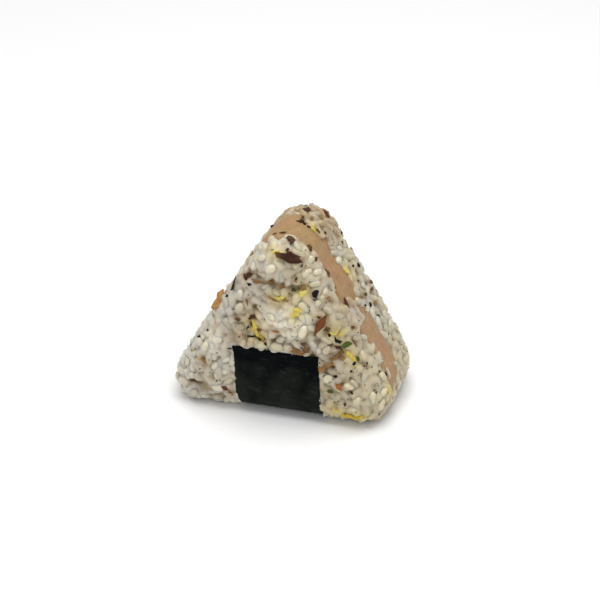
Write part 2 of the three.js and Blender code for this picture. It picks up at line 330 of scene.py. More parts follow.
def crease_depth(x, z):
    """How deep the creases are at points of a face."""
    depth = np.zeros(len(x))
    for width, deepest, pixels in CREASES:
        corners = np.array([front_place(*pixel) for pixel in pixels])
        steps = np.linspace(0, len(corners) - 1, len(corners) * CREASE_STEPS)
        line_x, line_z = (np.interp(steps, np.arange(len(corners)), line) for line in corners.T)
        nearest_line = np.min((x[:, None] - line_x) ** 2 + (z[:, None] - line_z) ** 2, axis=1)
        depth = np.maximum(depth, deepest * np.exp(-nearest_line / width ** 2))
    return depth


def meat_lean(x, z):
    """How much further back the meat's rim reaches, towards the apex."""
    share = np.clip((z - LEAN_START) / LEAN_RISE, 0.0, 1.0)
    most = LEAN + LEAN_LEFT * np.clip(-x / LEAN_LEFT_SPAN, 0.0, 1.0)
    return most * share ** 2 * (3.0 - 2.0 * share)


def rim_reach(node, x, z):
    """How far the rice laps over the meat at points of its rim."""
    waves = [noise.noise(Vector((a, 4.0, b)) / RIM_WAVE) for a, b in zip(x, z)]
    reach = RIM_LAP + RIM_UNEVENNESS * np.array(waves)
    for lap in RIM_LAPS[node]:
        reach += mound(x, z, *lap)
    reach = np.maximum(reach, 0.0)
    return reach - meat_lean(x, z) if node == "rice_back" else reach


def lap_lift(node, points, inner):
    """How much the laps stand up over the meat, at points of the bare body."""
    x, depth, z = points.T
    lift = LAP_HEIGHT_SHARE * sum(mound(x, z, *lap) for lap in RIM_LAPS[node])
    return lift * np.clip(1.0 - (np.abs(depth) - abs(inner)) / LAP_LENGTH, 0.0, 1.0)


def nori_middle(z):
    """x of the middle of the strip on the front face, at a height."""
    return NORI_SHIFT - NORI_LEAN * (z - NORI_TOP / 2)


def under_nori(x, z, margin):
    """How far a point lies outside the strip's outline, drawn in by a margin; negative is inside."""
    return np.maximum(np.abs(x - nori_middle(z)) - NORI_HALF_WIDTH, z - NORI_TOP) + margin


def ring_at(outline, depth):
    """A ring of points: an outline in x and z, at one depth or at a depth for each point."""
    return np.stack([outline[:, 0], np.broadcast_to(depth, len(outline)), outline[:, 1]], 1)


def shrunk(outline, scale):
    """An outline drawn in towards the middle of a face."""
    return (outline - FACE_CENTRE) * scale + FACE_CENTRE


def lofted(rings, first_pole, last_pole):
    """Points and faces of a closed skin over rings of equal count."""
    count = len(rings[0])
    points = np.concatenate([[first_pole], *rings, [last_pole]])
    faces = []
    last = len(points) - 1
    for i in range(count):
        j = (i + 1) % count
        faces.append((0, 1 + j, 1 + i))
        for ring in range(len(rings) - 1):
            a = 1 + ring * count
            b = a + count
            faces.append((a + i, a + j, b + j, b + i))
        end = 1 + (len(rings) - 1) * count
        faces.append((last, end + i, end + j))
    return points, faces


def new_mesh(name, points, faces):
    """A mesh from points in millimetres."""
    mesh = bpy.data.meshes.new(name)
    mesh.from_pydata((np.asarray(points) * MM).tolist(), [], faces)
    mesh.update()
    return mesh


def new_object(name, mesh):
    """An object at the origin, in the scene."""
    piece = bpy.data.objects.new(name, mesh)
    bpy.context.collection.objects.link(piece)
    return piece


def vertex_array(collection, key, width):
    """One property of every item of a mesh collection, as an array."""
    values = np.zeros(len(collection) * width, dtype=np.float32)
    collection.foreach_get(key, values)
    return values.reshape(-1, width)


def store(mesh, name, values):
    """Keep one number per vertex under a name."""
    attribute = mesh.attributes.new(name, "FLOAT", "POINT")
    attribute.data.foreach_set("value", np.asarray(values, dtype=np.float32))


def inner_depth(node):
    """Depth of the half's flat back, against the meat."""
    meat_face = MEAT_FRONT if node == "rice_front" else MEAT_BACK
    return meat_face + SIDE[node] * MEAT_GAP - MIDDLE


def bare_half(node):
    """Points and faces of one half before it is lumpy: flat back, rim, rounded edge and face."""
    sign = SIDE[node]
    inner = inner_depth(node)
    rim = rounded_triangle(GRAIN_PROUD, OUTLINE_POINTS)
    rings = [ring_at(shrunk(rim, scale), inner) for scale in BACK_RINGS]
    start = abs(inner) - rim_reach(node, *rim.T)
    end = face_depth(node, rim[:, 1]) - EDGE_ROUNDING
    rings += [ring_at(rim, sign * (start + (end - start) * share)) for share in RIM_RINGS]
    for step in range(EDGE_STEPS + 1):
        angle = step / EDGE_STEPS * math.pi / 2
        outline = rounded_triangle(GRAIN_PROUD + EDGE_ROUNDING * (1 - math.cos(angle)), OUTLINE_POINTS)
        depth = face_depth(node, outline[:, 1]) - EDGE_ROUNDING * (1 - math.sin(angle))
        rings.append(ring_at(outline, sign * depth))
    face = rounded_triangle(GRAIN_PROUD + EDGE_ROUNDING, OUTLINE_POINTS)
    for scale in FACE_RINGS:
        outline = shrunk(face, scale)
        rings.append(ring_at(outline, sign * face_depth(node, outline[:, 1])))
    x, z = FACE_CENTRE
    poles = [(x, inner, z), (x, sign * face_depth(node, z), z)]
    if sign > 0:
        rings.reverse()
        poles.reverse()
    return lofted(rings, *poles)


def lump(point):
    """Height of the uneven lumps at a point."""
    coarse = noise.noise(Vector(point) / COARSE_LUMP[0] + Vector((7.0, 3.0, 1.0)))
    return COARSE_LUMP[1] * coarse + FINE_LUMP[1] * noise.noise(Vector(point) / FINE_LUMP[0])


def rice_core(node):
    """The bare, lumpy body of one half, with how much room each vertex has for grains."""
    inner = inner_depth(node)
    points, faces = bare_half(node)
    mesh = new_mesh(node + "_core", points, faces)
    normals = vertex_array(mesh.vertex_normals, "vector", 3)
    outside = (np.abs(points[:, 1] - inner) > FLAT_BACK).astype(float)
    facing = np.clip(np.abs(normals[:, 1]) * FACING_GAIN - FACING_LOSS, 0.0, 1.0)
    x, z = points[:, 0], points[:, 2]
    face_x = x * -SIDE[node]
    creases = crease_depth(face_x, z) * facing
    beyond_nori = under_nori(face_x, z, 0.0)
    lift = sum(mound(x, z, *swelling) for swelling in SWELLINGS[node]) - creases
    lift *= facing * np.clip(beyond_nori / NORI_FADE, 0.0, 1.0)
    lumps = np.array([lump(point) for point in points])
    lift += lumps * np.clip(beyond_nori / NORI_FADE + 1.0, 0.0, 1.0)
    lift += lap_lift(node, points, inner)
    points = points + normals * (lift * outside)[:, None]
    points[:, 1] += MIDDLE
    mesh.vertices.foreach_set("co", (skewed(points) * MM).astype(np.float32).ravel())
    room = outside * np.clip(under_nori(face_x, z, NORI_MARGIN), 0.0, 1.0)
    room *= np.clip(CREASE_WITHOUT_GRAINS - creases, 0.0, 1.0)
    room *= np.where(normals[:, 2] < BASE_NORMAL, BASE_ROOM, 1.0)
    store(mesh, "room", room)
    mesh.update()
    return mesh


def capped_faces(rings, columns):
    """Faces of a closed skin over rings of points, with one point at each end."""
    faces = []
    last = rings * columns + 1
    for column in range(columns):
        after = (column + 1) % columns
        faces.append((0, 1 + column, 1 + after))
        for ring in range(rings - 1):
            a = 1 + ring * columns
            faces.append((a + column, a + columns + column, a + columns + after, a + after))
        a = 1 + (rings - 1) * columns
        faces.append((last, a + after, a + column))
    return faces


def grain_mesh():
    """One plump grain, slightly bent and narrower at one end."""
    points = [(-1.0, 0.0, 0.0)]
    for row in range(1, GRAIN_ROWS):
        angle = math.pi * row / GRAIN_ROWS
        along = -math.cos(angle)
        girth = math.sin(angle) ** GRAIN_BLUNTNESS * (1.0 - GRAIN_TAPER * along)
        for column in range(GRAIN_COLUMNS):
            turn = 2 * math.pi * column / GRAIN_COLUMNS
            rise = girth * math.sin(turn) + GRAIN_BEND * along ** 2
            points.append((along, girth * math.cos(turn), rise))
    points.append((1.0, 0.0, GRAIN_BEND))
    faces = capped_faces(GRAIN_ROWS - 1, GRAIN_COLUMNS)
    return new_mesh("grain", np.array(points) * GRAIN_HALF_SIZE, faces)


def add_sockets(tree, in_out, kind, names):
    """Named inputs or outputs of one kind on a node tree."""
    for name in names:
        tree.interface.new_socket(name, in_out=in_out, socket_type="NodeSocket" + kind)


def set_inputs(tree, node, inputs):
    """Give a node its inputs, each a value or another node's output."""
    for socket, value in inputs.items():
        if isinstance(value, bpy.types.NodeSocket):
            tree.links.new(value, node.inputs[socket])
        else:
            node.inputs[socket].default_value = value


def add_node(tree, kind, inputs, **settings):
    """A new node with its settings and inputs."""
    node = tree.nodes.new(kind)
    for name, value in settings.items():
        setattr(node, name, value)
    set_inputs(tree, node, inputs)
    return node


def scatter_tree():
    """Node tree that lays copies of a piece over a surface, turned and tilted at random."""
    tree = bpy.data.node_groups.new("Scatter over a surface", "GeometryNodeTree")
    add_sockets(tree, "INPUT", "Geometry", ["Surface"])
    add_sockets(tree, "INPUT", "Object", ["Piece"])
    add_sockets(tree, "INPUT", "Material", ["Material"])
    add_sockets(tree, "INPUT", "Float", ["Spacing", "Tilt", "Smallest", "Largest", "Sink"])
    add_sockets(tree, "INPUT", "Int", ["Seed"])
    add_sockets(tree, "OUTPUT", "Geometry", ["Pieces"])
    given = tree.nodes.new("NodeGroupInput").outputs
    seed = given["Seed"]
    tilt = given["Tilt"]
    room = add_node(tree, "GeometryNodeInputNamedAttribute", {"Name": "room"}, data_type="FLOAT")
    spread = add_node(tree, "GeometryNodeDistributePointsOnFaces", {
        "Mesh": given["Surface"],
        "Distance Min": given["Spacing"],
        "Density Max": DENSITY_LIMIT,
        "Density Factor": room.outputs["Attribute"],
        "Seed": seed,
    }, distribute_method="POISSON")
    other_way = add_node(tree, "ShaderNodeMath", {0: tilt, 1: -1.0}, operation="MULTIPLY").outputs[0]
    low = add_node(tree, "ShaderNodeCombineXYZ", {"X": other_way, "Y": other_way})
    high = add_node(tree, "ShaderNodeCombineXYZ", {"X": tilt, "Y": tilt, "Z": 2 * math.pi})
    angles = add_node(tree, "FunctionNodeRandomValue", {
        0: low.outputs[0],
        1: high.outputs[0],
        "Seed": seed,
    }, data_type="FLOAT_VECTOR")
    rotation = add_node(tree, "FunctionNodeEulerToRotation", {0: angles.outputs[0]})
    turn = add_node(tree, "FunctionNodeRotateRotation", {
        0: spread.outputs["Rotation"],
        1: rotation.outputs[0],
    }, rotation_space="LOCAL")
    size = add_node(tree, "FunctionNodeRandomValue", {
        2: given["Smallest"],
        3: given["Largest"],
        "Seed": seed,
    }, data_type="FLOAT")
    piece = add_node(tree, "GeometryNodeObjectInfo", {"Object": given["Piece"]})
    place = add_node(tree, "GeometryNodeInstanceOnPoints", {
        "Points": spread.outputs["Points"],
        "Instance": piece.outputs["Geometry"],
        "Rotation": turn.outputs[0],
        "Scale": size.outputs[1],
    })
    down = add_node(tree, "ShaderNodeCombineXYZ", {"Z": given["Sink"]})
    sunk = add_node(tree, "GeometryNodeTranslateInstances", {
        "Instances": place.outputs[0],
        "Translation": down.outputs[0],
        "Local Space": True,
    })
    whole = add_node(tree, "GeometryNodeRealizeInstances", {0: sunk.outputs[0]})
    painted = add_node(tree, "GeometryNodeSetMaterial", {
        "Geometry": whole.outputs[0],
        "Material": given["Material"],
    })
    add_node(tree, "NodeGroupOutput", {"Pieces": painted.outputs[0]})
    return tree


def evaluated_mesh(carrier):
    """The plain mesh that an object's modifiers make; the modifiers are then taken off."""
    carrier.update_tag()
    bpy.context.view_layer.update()
    seen = carrier.evaluated_get(bpy.context.evaluated_depsgraph_get())
    mesh = bpy.data.meshes.new_from_object(seen)
    carrier.modifiers.clear()
    return mesh


def grain_layer(carrier, spacing, tilt, sizes, sink, seed):
    """The plain mesh of the grains that the node tree lays over a carrier's surface."""
    values = {
        "Piece": grain,
        "Material": rice_paint,
        "Spacing": spacing * MM,
        "Tilt": tilt,
        "Smallest": sizes[0],
        "Largest": sizes[1],
        "Sink": sink * MM,
        "Seed": seed,
    }
    modifier = carrier.modifiers.new("scatter", "NODES")
    modifier.node_group = scatter
    for item in scatter.interface.items_tree:
        if item.name in values:
            modifier[item.identifier] = values[item.name]
    return evaluated_mesh(carrier)


def mesh_arrays(mesh):
    """Points in millimetres and faces as tuples."""
    points = vertex_array(mesh.vertices, "co", 3) / MM
    faces = [tuple(face.vertices) for face in mesh.polygons]
    return points, faces


def joined(shapes):
    """Points and faces of several shapes as one."""
    faces = []
    start = 0
    for points, own_faces in shapes:
        faces += [tuple(start + index for index in face) for face in own_faces]
        start += len(points)
    return np.concatenate([points for points, _ in shapes]), faces


def fused(name, meshes):
    """One skin over meshes that overlap, as sticky grains have."""
    loose = new_mesh(name + "_loose", *joined([mesh_arrays(mesh) for mesh in meshes]))
    carrier = new_object(name, loose)
    remesh = carrier.modifiers.new("fuse", "REMESH")
    remesh.mode = "VOXEL"
    remesh.voxel_size = VOXEL * MM
    carrier.data = evaluated_mesh(carrier)
    carrier.data.name = name
    bpy.data.meshes.remove(loose)
    return carrier


def node_material(name):
    """A new node material with its tree and its shader."""
    material = bpy.data.materials.new(name)
    material.use_nodes = True
    tree = material.node_tree
    return material, tree, tree.nodes["Principled BSDF"]


def linear(red, green, blue):
    """A screen colour, 0 to 255, as the light it stands for."""
    light = []
    for value in (red / 255, green / 255, blue / 255):
        light.append(value / 12.92 if value <= 0.04045 else ((value + 0.055) / 1.055) ** 2.4)
    return (*light, 1.0)


def attribute_value(tree, name):
    """Output of a named attribute stored on the mesh."""
    return add_node(tree, "ShaderNodeAttribute", {}, attribute_name=name).outputs["Fac"]


def object_place(tree):
    """Output of the place on the object."""
    return tree.nodes.new("ShaderNodeTexCoord").outputs["Object"]


def along_axis(tree, axis):
    """The object's own coordinate along one axis."""
    return add_node(tree, "ShaderNodeSeparateXYZ", {0: object_place(tree)}).outputs[axis]


def uneven_patches():
    """Node group for soft patches: noise over the object, 0 where it is below Low and 1 above High."""
    group = bpy.data.node_groups.new("Uneven patches", "ShaderNodeTree")
    add_sockets(group, "INPUT", "Float", ["Scale", "Detail", "Roughness", "Shift", "Low", "High"])
    add_sockets(group, "INPUT", "Vector", ["Stretch"])
    add_sockets(group, "OUTPUT", "Float", ["Share"])
    given = group.nodes.new("NodeGroupInput").outputs
    mapping = add_node(group, "ShaderNodeMapping", {
        "Vector": object_place(group),
        "Scale": given["Stretch"],
    })
    texture = add_node(group, "ShaderNodeTexNoise", {
        "Vector": mapping.outputs["Vector"],
        "Scale": given["Scale"],
        "Detail": given["Detail"],
        "Roughness": given["Roughness"],
    })
    shifted = add_node(group, "ShaderNodeMath", {
        0: texture.outputs["Fac"],
        1: given["Shift"],
    }, operation="ADD")
    levels = add_node(group, "ShaderNodeMapRange", {
        "Value": shifted.outputs[0],
        "From Min": given["Low"],
        "From Max": given["High"],
    })
    add_node(group, "NodeGroupOutput", {"Share": levels.outputs["Result"]})
    return group


patch_group = uneven_patches()


def patches(
    tree, scale, detail, low=0.0, high=1.0, roughness=0.5, stretch=(1.0, 1.0, 1.0), shift=0.0
):
    """The share of soft patches at each point of a material."""
    node = add_node(tree, "ShaderNodeGroup", {
        "Scale": scale,
        "Detail": detail,
        "Roughness": roughness,
        "Shift": shift,
        "Low": low,
        "High": high,
        "Stretch": stretch,
    }, node_tree=patch_group)
    return node.outputs["Share"]


def times(tree, a, factor):
    """A value times a number or another value."""
    return add_node(tree, "ShaderNodeMath", {0: a, 1: factor}, operation="MULTIPLY").outputs[0]


def blend(tree, share, below, above):
    """A colour between two, each a constant or another node's output."""
    inputs = {"Factor": share, 6: below, 7: above}
    return add_node(tree, "ShaderNodeMix", inputs, data_type="RGBA").outputs[2]


def bumped(tree, shader, height, strength, distance):
    """Fine relief of a shader's surface."""
    inputs = {"Height": height, "Strength": strength, "Distance": distance}
    relief = add_node(tree, "ShaderNodeBump", inputs)
    set_inputs(tree, shader, {"Normal": relief.outputs["Normal"]})


# Rice colours. RICE_SHADE and the deepest brown are painted shade for hollows and creases; the brown is
# partly stain as well.
RICE_SHADE_BROWN = linear(108, 78, 46)
RICE_SHADE = linear(160, 132, 76)
RICE_PALE = linear(198, 192, 178)
RICE_CREAM = linear(192, 181, 151)
RICE_MILKY = linear(237, 227, 202)
RICE_GREY = linear(160, 154, 140)
RICE_STAIN = linear(150, 112, 58)
RICE_YELLOW = linear(206, 186, 106)


def rice_material():
    """Soft, slightly translucent rice: creamier to the right, stained near flakes, with painted shade in
    hollows and creases that turns brown in patches, partly shade and partly stain.
    """
    material, tree, shader = node_material("rice")
    rightwards = times(tree, along_axis(tree, "X"), 3.5)
    creamy = patches(tree, scale=45.0, detail=1.0, low=0.40, high=0.66, shift=rightwards)
    colour = blend(tree, creamy, RICE_PALE, RICE_CREAM)
    colour = blend(tree, times(tree, attribute_value(tree, "tint"), 0.5), colour, RICE_GREY)
    colour = blend(tree, times(tree, attribute_value(tree, "milky"), 0.9), colour, RICE_MILKY)
    stains = patches(tree, scale=150.0, detail=3.0, low=0.58, high=0.74)
    colour = blend(tree, times(tree, stains, 0.4), colour, RICE_STAIN)
    near_flakes = patches(tree, scale=260.0, detail=2.0, low=0.25, high=0.6)
    near_flakes = times(tree, near_flakes, attribute_value(tree, "stain"))
    colour = blend(tree, times(tree, near_flakes, 0.85), colour, RICE_STAIN)
    colour = blend(tree, times(tree, attribute_value(tree, "yellowed"), 0.5), colour, RICE_YELLOW)
    # Painted shade: hollows and creases are darkened towards RICE_SHADE, and in patches towards a deep
    # brown that is partly shade and partly stain.
    hollow = attribute_value(tree, "hollow")
    colour = blend(tree, times(tree, hollow, 0.6), colour, RICE_SHADE)
    shade_and_stain = times(tree, hollow, patches(tree, scale=110.0, detail=2.0, low=0.46, high=0.60))
    set_inputs(tree, shader, {
        "Base Color": blend(tree, times(tree, shade_and_stain, 0.9), colour, RICE_SHADE_BROWN),
        "Roughness": 0.3,
        "Subsurface Weight": 0.8,
        "Subsurface Radius": (1.0, 0.82, 0.5),
        "Subsurface Scale": 0.0036,
        "Specular IOR Level": 0.4,
    })
    return material


def nearest(points, places):
    """Index of the place nearest to each point, and its distance."""
    near = kdtree.KDTree(len(places))
    for index, place in enumerate(places):
        near.insert(place, index)
    near.balance()
    found = [near.find(point) for point in points]
    return np.array([index for _, index, _ in found]), np.array([distance for _, _, distance in found])


def nearest_tints(points, grains, seed):
    """A random tint per grain, taken over by the points nearest to it."""
    centres = vertex_array(grains.vertices, "co", 3).reshape(-1, len(grain.data.vertices), 3).mean(1)
    tints = np.random.default_rng(seed).random(len(centres)) ** TINT_POWER
    return tints[nearest(points, centres)[0]]


def strip_bed(node, z):
    """Depth of the surface that the nori lies on, round the lower edge and up the face."""
    centre_z = RICE_BASE + EDGE_ROUNDING
    bend = EDGE_ROUNDING + NORI_BED
    centre_depth = face_depth(node, centre_z) - EDGE_ROUNDING
    low = centre_depth + np.sqrt(np.maximum(bend ** 2 - (centre_z - z) ** 2, 0.0))
    return np.where(z < centre_z, low, face_depth(node, z) + NORI_BED)


def neighbour_average(points, edges, rounds):
    """Points after that many rounds of moving each to the middle of its neighbours."""
    count = len(points)
    both = np.concatenate([edges, edges[:, ::-1]])
    degree = np.bincount(both[:, 0], minlength=count)[:, None]
    for _ in range(rounds):
        columns = [np.bincount(both[:, 0], points[both[:, 1], axis], count) for axis in range(3)]
        points = np.stack(columns, 1) / degree
    return points


# How far grains have melted together: its middle, its unevenness, its limits and its patches' length
MELTED = 0.3
MELTED_UNEVENNESS = 1.6
MELTED_LIMITS = (0.1, 0.9)
MELTED_PATCH = 9.0
MILKY_MELTED = 0.3
SOFTENING_ROUNDS = 1
MELTING_ROUNDS = 8

# Hollows between grains and creases get painted shade: rounds to average over, depth of a full hollow and
# of a full crease
HOLLOW_ROUNDS = 14
FULL_HOLLOW = 0.5
FULL_CREASE = 4.0
MILKY_FILLING = 0.6


def melt_share(points):
    """Share from -1 to 1 of the patches in which grains have melted more or less."""
    shift = Vector((2.0, 5.0, 8.0))
    return np.array([noise.noise(Vector(point) / MELTED_PATCH + shift) for point in points])


def settle(mesh, node):
    """Grains melt together in patches and are pressed flat under the nori and on the table.

    Keeps how hollow each vertex is, which sets its painted shade, and how milky it is.
    """
    sign = SIDE[node]
    points = vertex_array(mesh.vertices, "co", 3) / MM
    edges = np.zeros(len(mesh.edges) * 2, dtype=np.int64)
    mesh.edges.foreach_get("vertices", edges)
    edges = edges.reshape(-1, 2)
    points = neighbour_average(points, edges, SOFTENING_ROUNDS)
    melted = neighbour_average(points, edges, MELTING_ROUNDS)
    x = unskewed(points[:, 0], points[:, 1]) * -sign
    on_front = ((points[:, 1] - MIDDLE) * sign > 0.0) & (node == "rice_front")
    milky = spotted(MILKY_SPOTS, x, points[:, 2]) * on_front
    mushy = spotted(MUSHY_SPOTS, x, points[:, 2]) * on_front
    share = melt_share(points) * MELTED_UNEVENNESS + MELTED + MILKY_MELTED * milky + mushy
    share = np.clip(share, *MELTED_LIMITS)[:, None]
    points = points * (1.0 - share) + melted * share
    depth = (points[:, 1] - MIDDLE) * sign
    limit = strip_bed(node, points[:, 2])
    pressed = (under_nori(x, points[:, 2], PRESSED_MARGIN) < 0.0) & (depth > limit)
    points[pressed, 1] = MIDDLE + sign * limit[pressed]
    points[:, 2] = np.maximum(points[:, 2], FLOOR_CONTACT)
    mesh.vertices.foreach_set("co", (points * MM).astype(np.float32).ravel())
    mesh.update()
    normals = vertex_array(mesh.vertex_normals, "vector", 3)
    # Painted shade: the deeper a vertex lies below its neighbours or in a crease, the darker the rice is
    # painted there; milky clumps get less of it.
    around = neighbour_average(points, edges, HOLLOW_ROUNDS)
    below = np.einsum("ij,ij->i", around - points, normals)
    creases = crease_depth(x, points[:, 2]) * np.abs(normals[:, 1])
    milky = milky * np.clip(-normals[:, 1], 0.0, 1.0)
    hollow = np.clip(below / FULL_HOLLOW + creases / FULL_CREASE, 0.0, 1.0)
    store(mesh, "hollow", hollow * (1.0 - MILKY_FILLING * milky))
    store(mesh, "milky", milky)


rice_paint = rice_material()
scatter = scatter_tree()
grain = new_object("grain", grain_mesh())
surfaces = {}
carriers = {}
rice_pieces = []
for node, seed in (("rice_front", 4), ("rice_back", 9)):
    core = rice_core(node)
    carrier = new_object(node + "_carrier", core)
    bed = grain_layer(carrier, BED_SPACING, BED_TILT, PRESSED_SIZES, BED_SINK, seed)
    top = grain_layer(carrier, TOP_SPACING, TOP_TILT, PRESSED_SIZES, TOP_SINK, seed + 20)
    rice = fused(node + "_rice", [core, bed, top])
    settle(rice.data, node)
    store(rice.data, "tint", nearest_tints(vertex_array(rice.data.vertices, "co", 3), top, seed))
    rice.data.materials.clear()
    rice.data.materials.append(rice_paint)
    rice.data.shade_smooth()
    bpy.context.view_layer.update()
    graph = bpy.context.evaluated_depsgraph_get()
    surfaces[node] = (BVHTree.FromObject(rice, graph), BVHTree.FromObject(carrier, graph))
    carriers[node] = carrier
    rice_pieces.append(rice)
    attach(rice, "root")
    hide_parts(node)


# Meat slice
# A slice of pink-tan pressed meat, the full height and width of the rice ball, moist and smooth,
# laid between the halves before they were pressed together.

MEAT_PROUD = 1.1
MEAT_EDGE = 2.6
MEAT_ROUNDING = 1.6
MEAT_POINTS = 300
MEAT_ROWS = 15
MEAT_FACE_RINGS = (0.5, 0.95)
MEAT_PINK = linear(164, 124, 86)
MEAT_TAN = linear(159, 129, 84)
MEAT_PALE = linear(182, 149, 105)
MEAT_DARK = linear(142, 102, 66)

# Waves of the rim: length and height
MEAT_WAVES = ((9.0, 0.7), (4.0, 0.3), (1.8, 0.12))


def meat_mesh():
    """The slice's skin: a softly rounded, slightly wavy rim and flat faces."""
    bare = rounded_triangle(GRAIN_PROUD, MEAT_POINTS)
    rings = [ring_at(shrunk(bare, scale), MEAT_BACK) for scale in MEAT_FACE_RINGS]
    for y in np.linspace(MEAT_FRONT, MEAT_BACK, MEAT_ROWS)[::-1]:
        to_edge = min(y - MEAT_FRONT, MEAT_BACK - y)
        rounding = MEAT_ROUNDING * (1.0 - math.sqrt(1.0 - max(1.0 - to_edge / MEAT_EDGE, 0.0) ** 2))
        back_share = (y - MEAT_FRONT) / (MEAT_BACK - MEAT_FRONT)
        ring = []
        for x, z in rounded_triangle(GRAIN_PROUD - MEAT_PROUD + rounding, MEAT_POINTS):
            place = Vector((x, y, z))
            wave = sum(height * noise.noise(place / length) for length, height in MEAT_WAVES)
            away = Vector((x, z - FACE_CENTRE[1])).normalized() * wave
            ring.append((x + away.x, y + back_share * meat_lean(x, z), max(z + away.y, RICE_BASE)))
        rings.append(np.array(ring))
    rings += [ring_at(shrunk(bare, scale), MEAT_FRONT) for scale in MEAT_FACE_RINGS[::-1]]
    x, z = FACE_CENTRE
    points, faces = lofted(rings, (x, MEAT_BACK, z), (x, MEAT_FRONT, z))
    return new_mesh("meat", skewed(points), faces)


def meat_material():
    """Soft mottling from tan to pink, with paler and darker flecks."""
    material, tree, shader = node_material("meat")
    mottled = patches(tree, scale=90.0, detail=2.0, low=0.38, high=0.62)
    colour = blend(tree, mottled, MEAT_TAN, MEAT_PINK)
    paler = patches(tree, scale=210.0, detail=3.0, low=0.52, high=0.7, roughness=0.6)
    colour = blend(tree, times(tree, paler, 0.5), colour, MEAT_PALE)
    flecks = patches(tree, scale=330.0, detail=3.0, low=0.52, high=0.7, roughness=0.6)
    set_inputs(tree, shader, {
        "Base Color": blend(tree, times(tree, flecks, 0.55), colour, MEAT_DARK),
        "Roughness": 0.5,
        "Subsurface Weight": 0.25,
        "Subsurface Radius": (1.0, 0.5, 0.3),
        "Subsurface Scale": 0.002,
    })
    fibres = patches(tree, scale=500.0, detail=4.0, roughness=0.6)
    bumped(tree, shader, fibres, strength=0.6, distance=0.0008)
    return material


meat = new_object("meat_layer", meat_mesh())
meat.data.materials.append(meat_material())
meat.data.shade_smooth()
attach(meat, "root")
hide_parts("meat_slice")


# Nori strip
# A cut strip of roasted seaweed, wrapped up the front, under the base and up the back.
# It is paper-thin, pressed from shreds, and has taken up the rice's damp, so it lies close.

NORI_THICKNESS = 0.5
NORI_OUTSIDE = 1.35
NORI_COLUMNS = 80
NORI_ROWS = 130
NORI_BEND_POINTS = 24
NORI_BLACK = linear(7, 9, 11)
NORI_GREEN = linear(43, 47, 41)
NORI_FIBRE = linear(64, 68, 62)

# Gentle waves, which begin a little above the table
WAVE_START = 6.0
WAVE_RISE = 8.0
WAVE_LENGTH = 6.0
WAVE_DEPTH = 0.5

# Torn long edges and ragged ends: closeness and depth
FINE_TEAR = (1.1, 0.35)
COARSE_TEAR = (0.25, 0.5)
RAGGED_END = (22.0, 0.4)
RAGGED_ROWS = 4.0


def nori_path(offset):
    """Points in y and z along the strip, front top to back top, at an offset from the bare rice."""
    bend = EDGE_ROUNDING + offset
    centre_z = NORI_OUTSIDE + EDGE_ROUNDING
    arc = np.linspace(0.0, math.pi / 2, NORI_BEND_POINTS)
    front_y = -(face_depth("rice_front", centre_z) - EDGE_ROUNDING)
    back_y = face_depth("rice_back", centre_z) - EDGE_ROUNDING
    points = [(-(face_depth("rice_front", NORI_TOP) + offset), NORI_TOP)]
    points += [(front_y - bend * math.cos(a), centre_z - bend * math.sin(a)) for a in arc]
    points += [(back_y + bend * math.sin(a), centre_z - bend * math.cos(a)) for a in arc]
    points.append((face_depth("rice_back", NORI_TOP) + offset, NORI_TOP))
    return evenly_spaced(np.array(points), NORI_ROWS + 1, closed=False)


def torn_edge(across, y, z):
    """How far the strip is torn sideways: all of it at a long edge, nothing further in."""
    fine = noise.noise(Vector((math.copysign(9.0, across), y, z)) * FINE_TEAR[0])
    coarse = noise.noise(Vector((math.copysign(5.0, across), y, z)) * COARSE_TEAR[0])
    return (fine * FINE_TEAR[1] + coarse * COARSE_TEAR[1]) * abs(across) ** 6


def ragged_end(across, side, row):
    """How far the strip is ragged lengthways: all of it at an end, nothing a few rows further in."""
    share = max(1.0 - min(row, NORI_ROWS - row) / RAGGED_ROWS, 0.0)
    return noise.noise(Vector((across * RAGGED_END[0], 3.0 * side, 0.0))) * RAGGED_END[1] * share


def nori_points(offset):
    """Rows of points across the strip, from end to end, at an offset from the bare rice."""
    points = []
    for row, (y, z) in enumerate(nori_path(offset)):
        raised = min(max((z - WAVE_START) / WAVE_RISE, 0.0), 1.0)
        side = min(max(-y / NORI_HALF_WIDTH, -1.0), 1.0)
        for column in range(NORI_COLUMNS + 1):
            across = column / NORI_COLUMNS * 2 - 1
            flat_x = across * NORI_HALF_WIDTH
            wave = (0.5 + noise.noise(Vector((flat_x, y, z)) / WAVE_LENGTH)) * WAVE_DEPTH * raised
            x = nori_middle(z) * side + flat_x + torn_edge(across, y, z)
            height = max(z + ragged_end(across, side, row), 0.0)
            points.append((x, y + math.copysign(wave, y) + MIDDLE, height))
    return points


def nori_mesh():
    """Two faces a paper's thickness apart, closed along the edges and ends."""
    points = nori_points(NORI_OUTSIDE - NORI_THICKNESS) + nori_points(NORI_OUTSIDE)
    columns = NORI_COLUMNS + 1
    layer = (NORI_ROWS + 1) * columns
    faces = []
    for row in range(NORI_ROWS):
        for column in range(NORI_COLUMNS):
            a = row * columns + column
            quad = (a, a + columns, a + columns + 1, a + 1)
            faces.append(tuple(layer + i for i in quad))
            faces.append(quad[::-1])
        left = row * columns
        right = left + NORI_COLUMNS
        faces.append((left, left + columns, layer + left + columns, layer + left))
        faces.append((layer + right, layer + right + columns, right + columns, right))
    for column in range(NORI_COLUMNS):
        end = NORI_ROWS * columns + column
        faces.append((column, layer + column, layer + column + 1, column + 1))
        faces.append((layer + end, end, end + 1, layer + end + 1))
    return new_mesh("nori", skewed(points), faces)


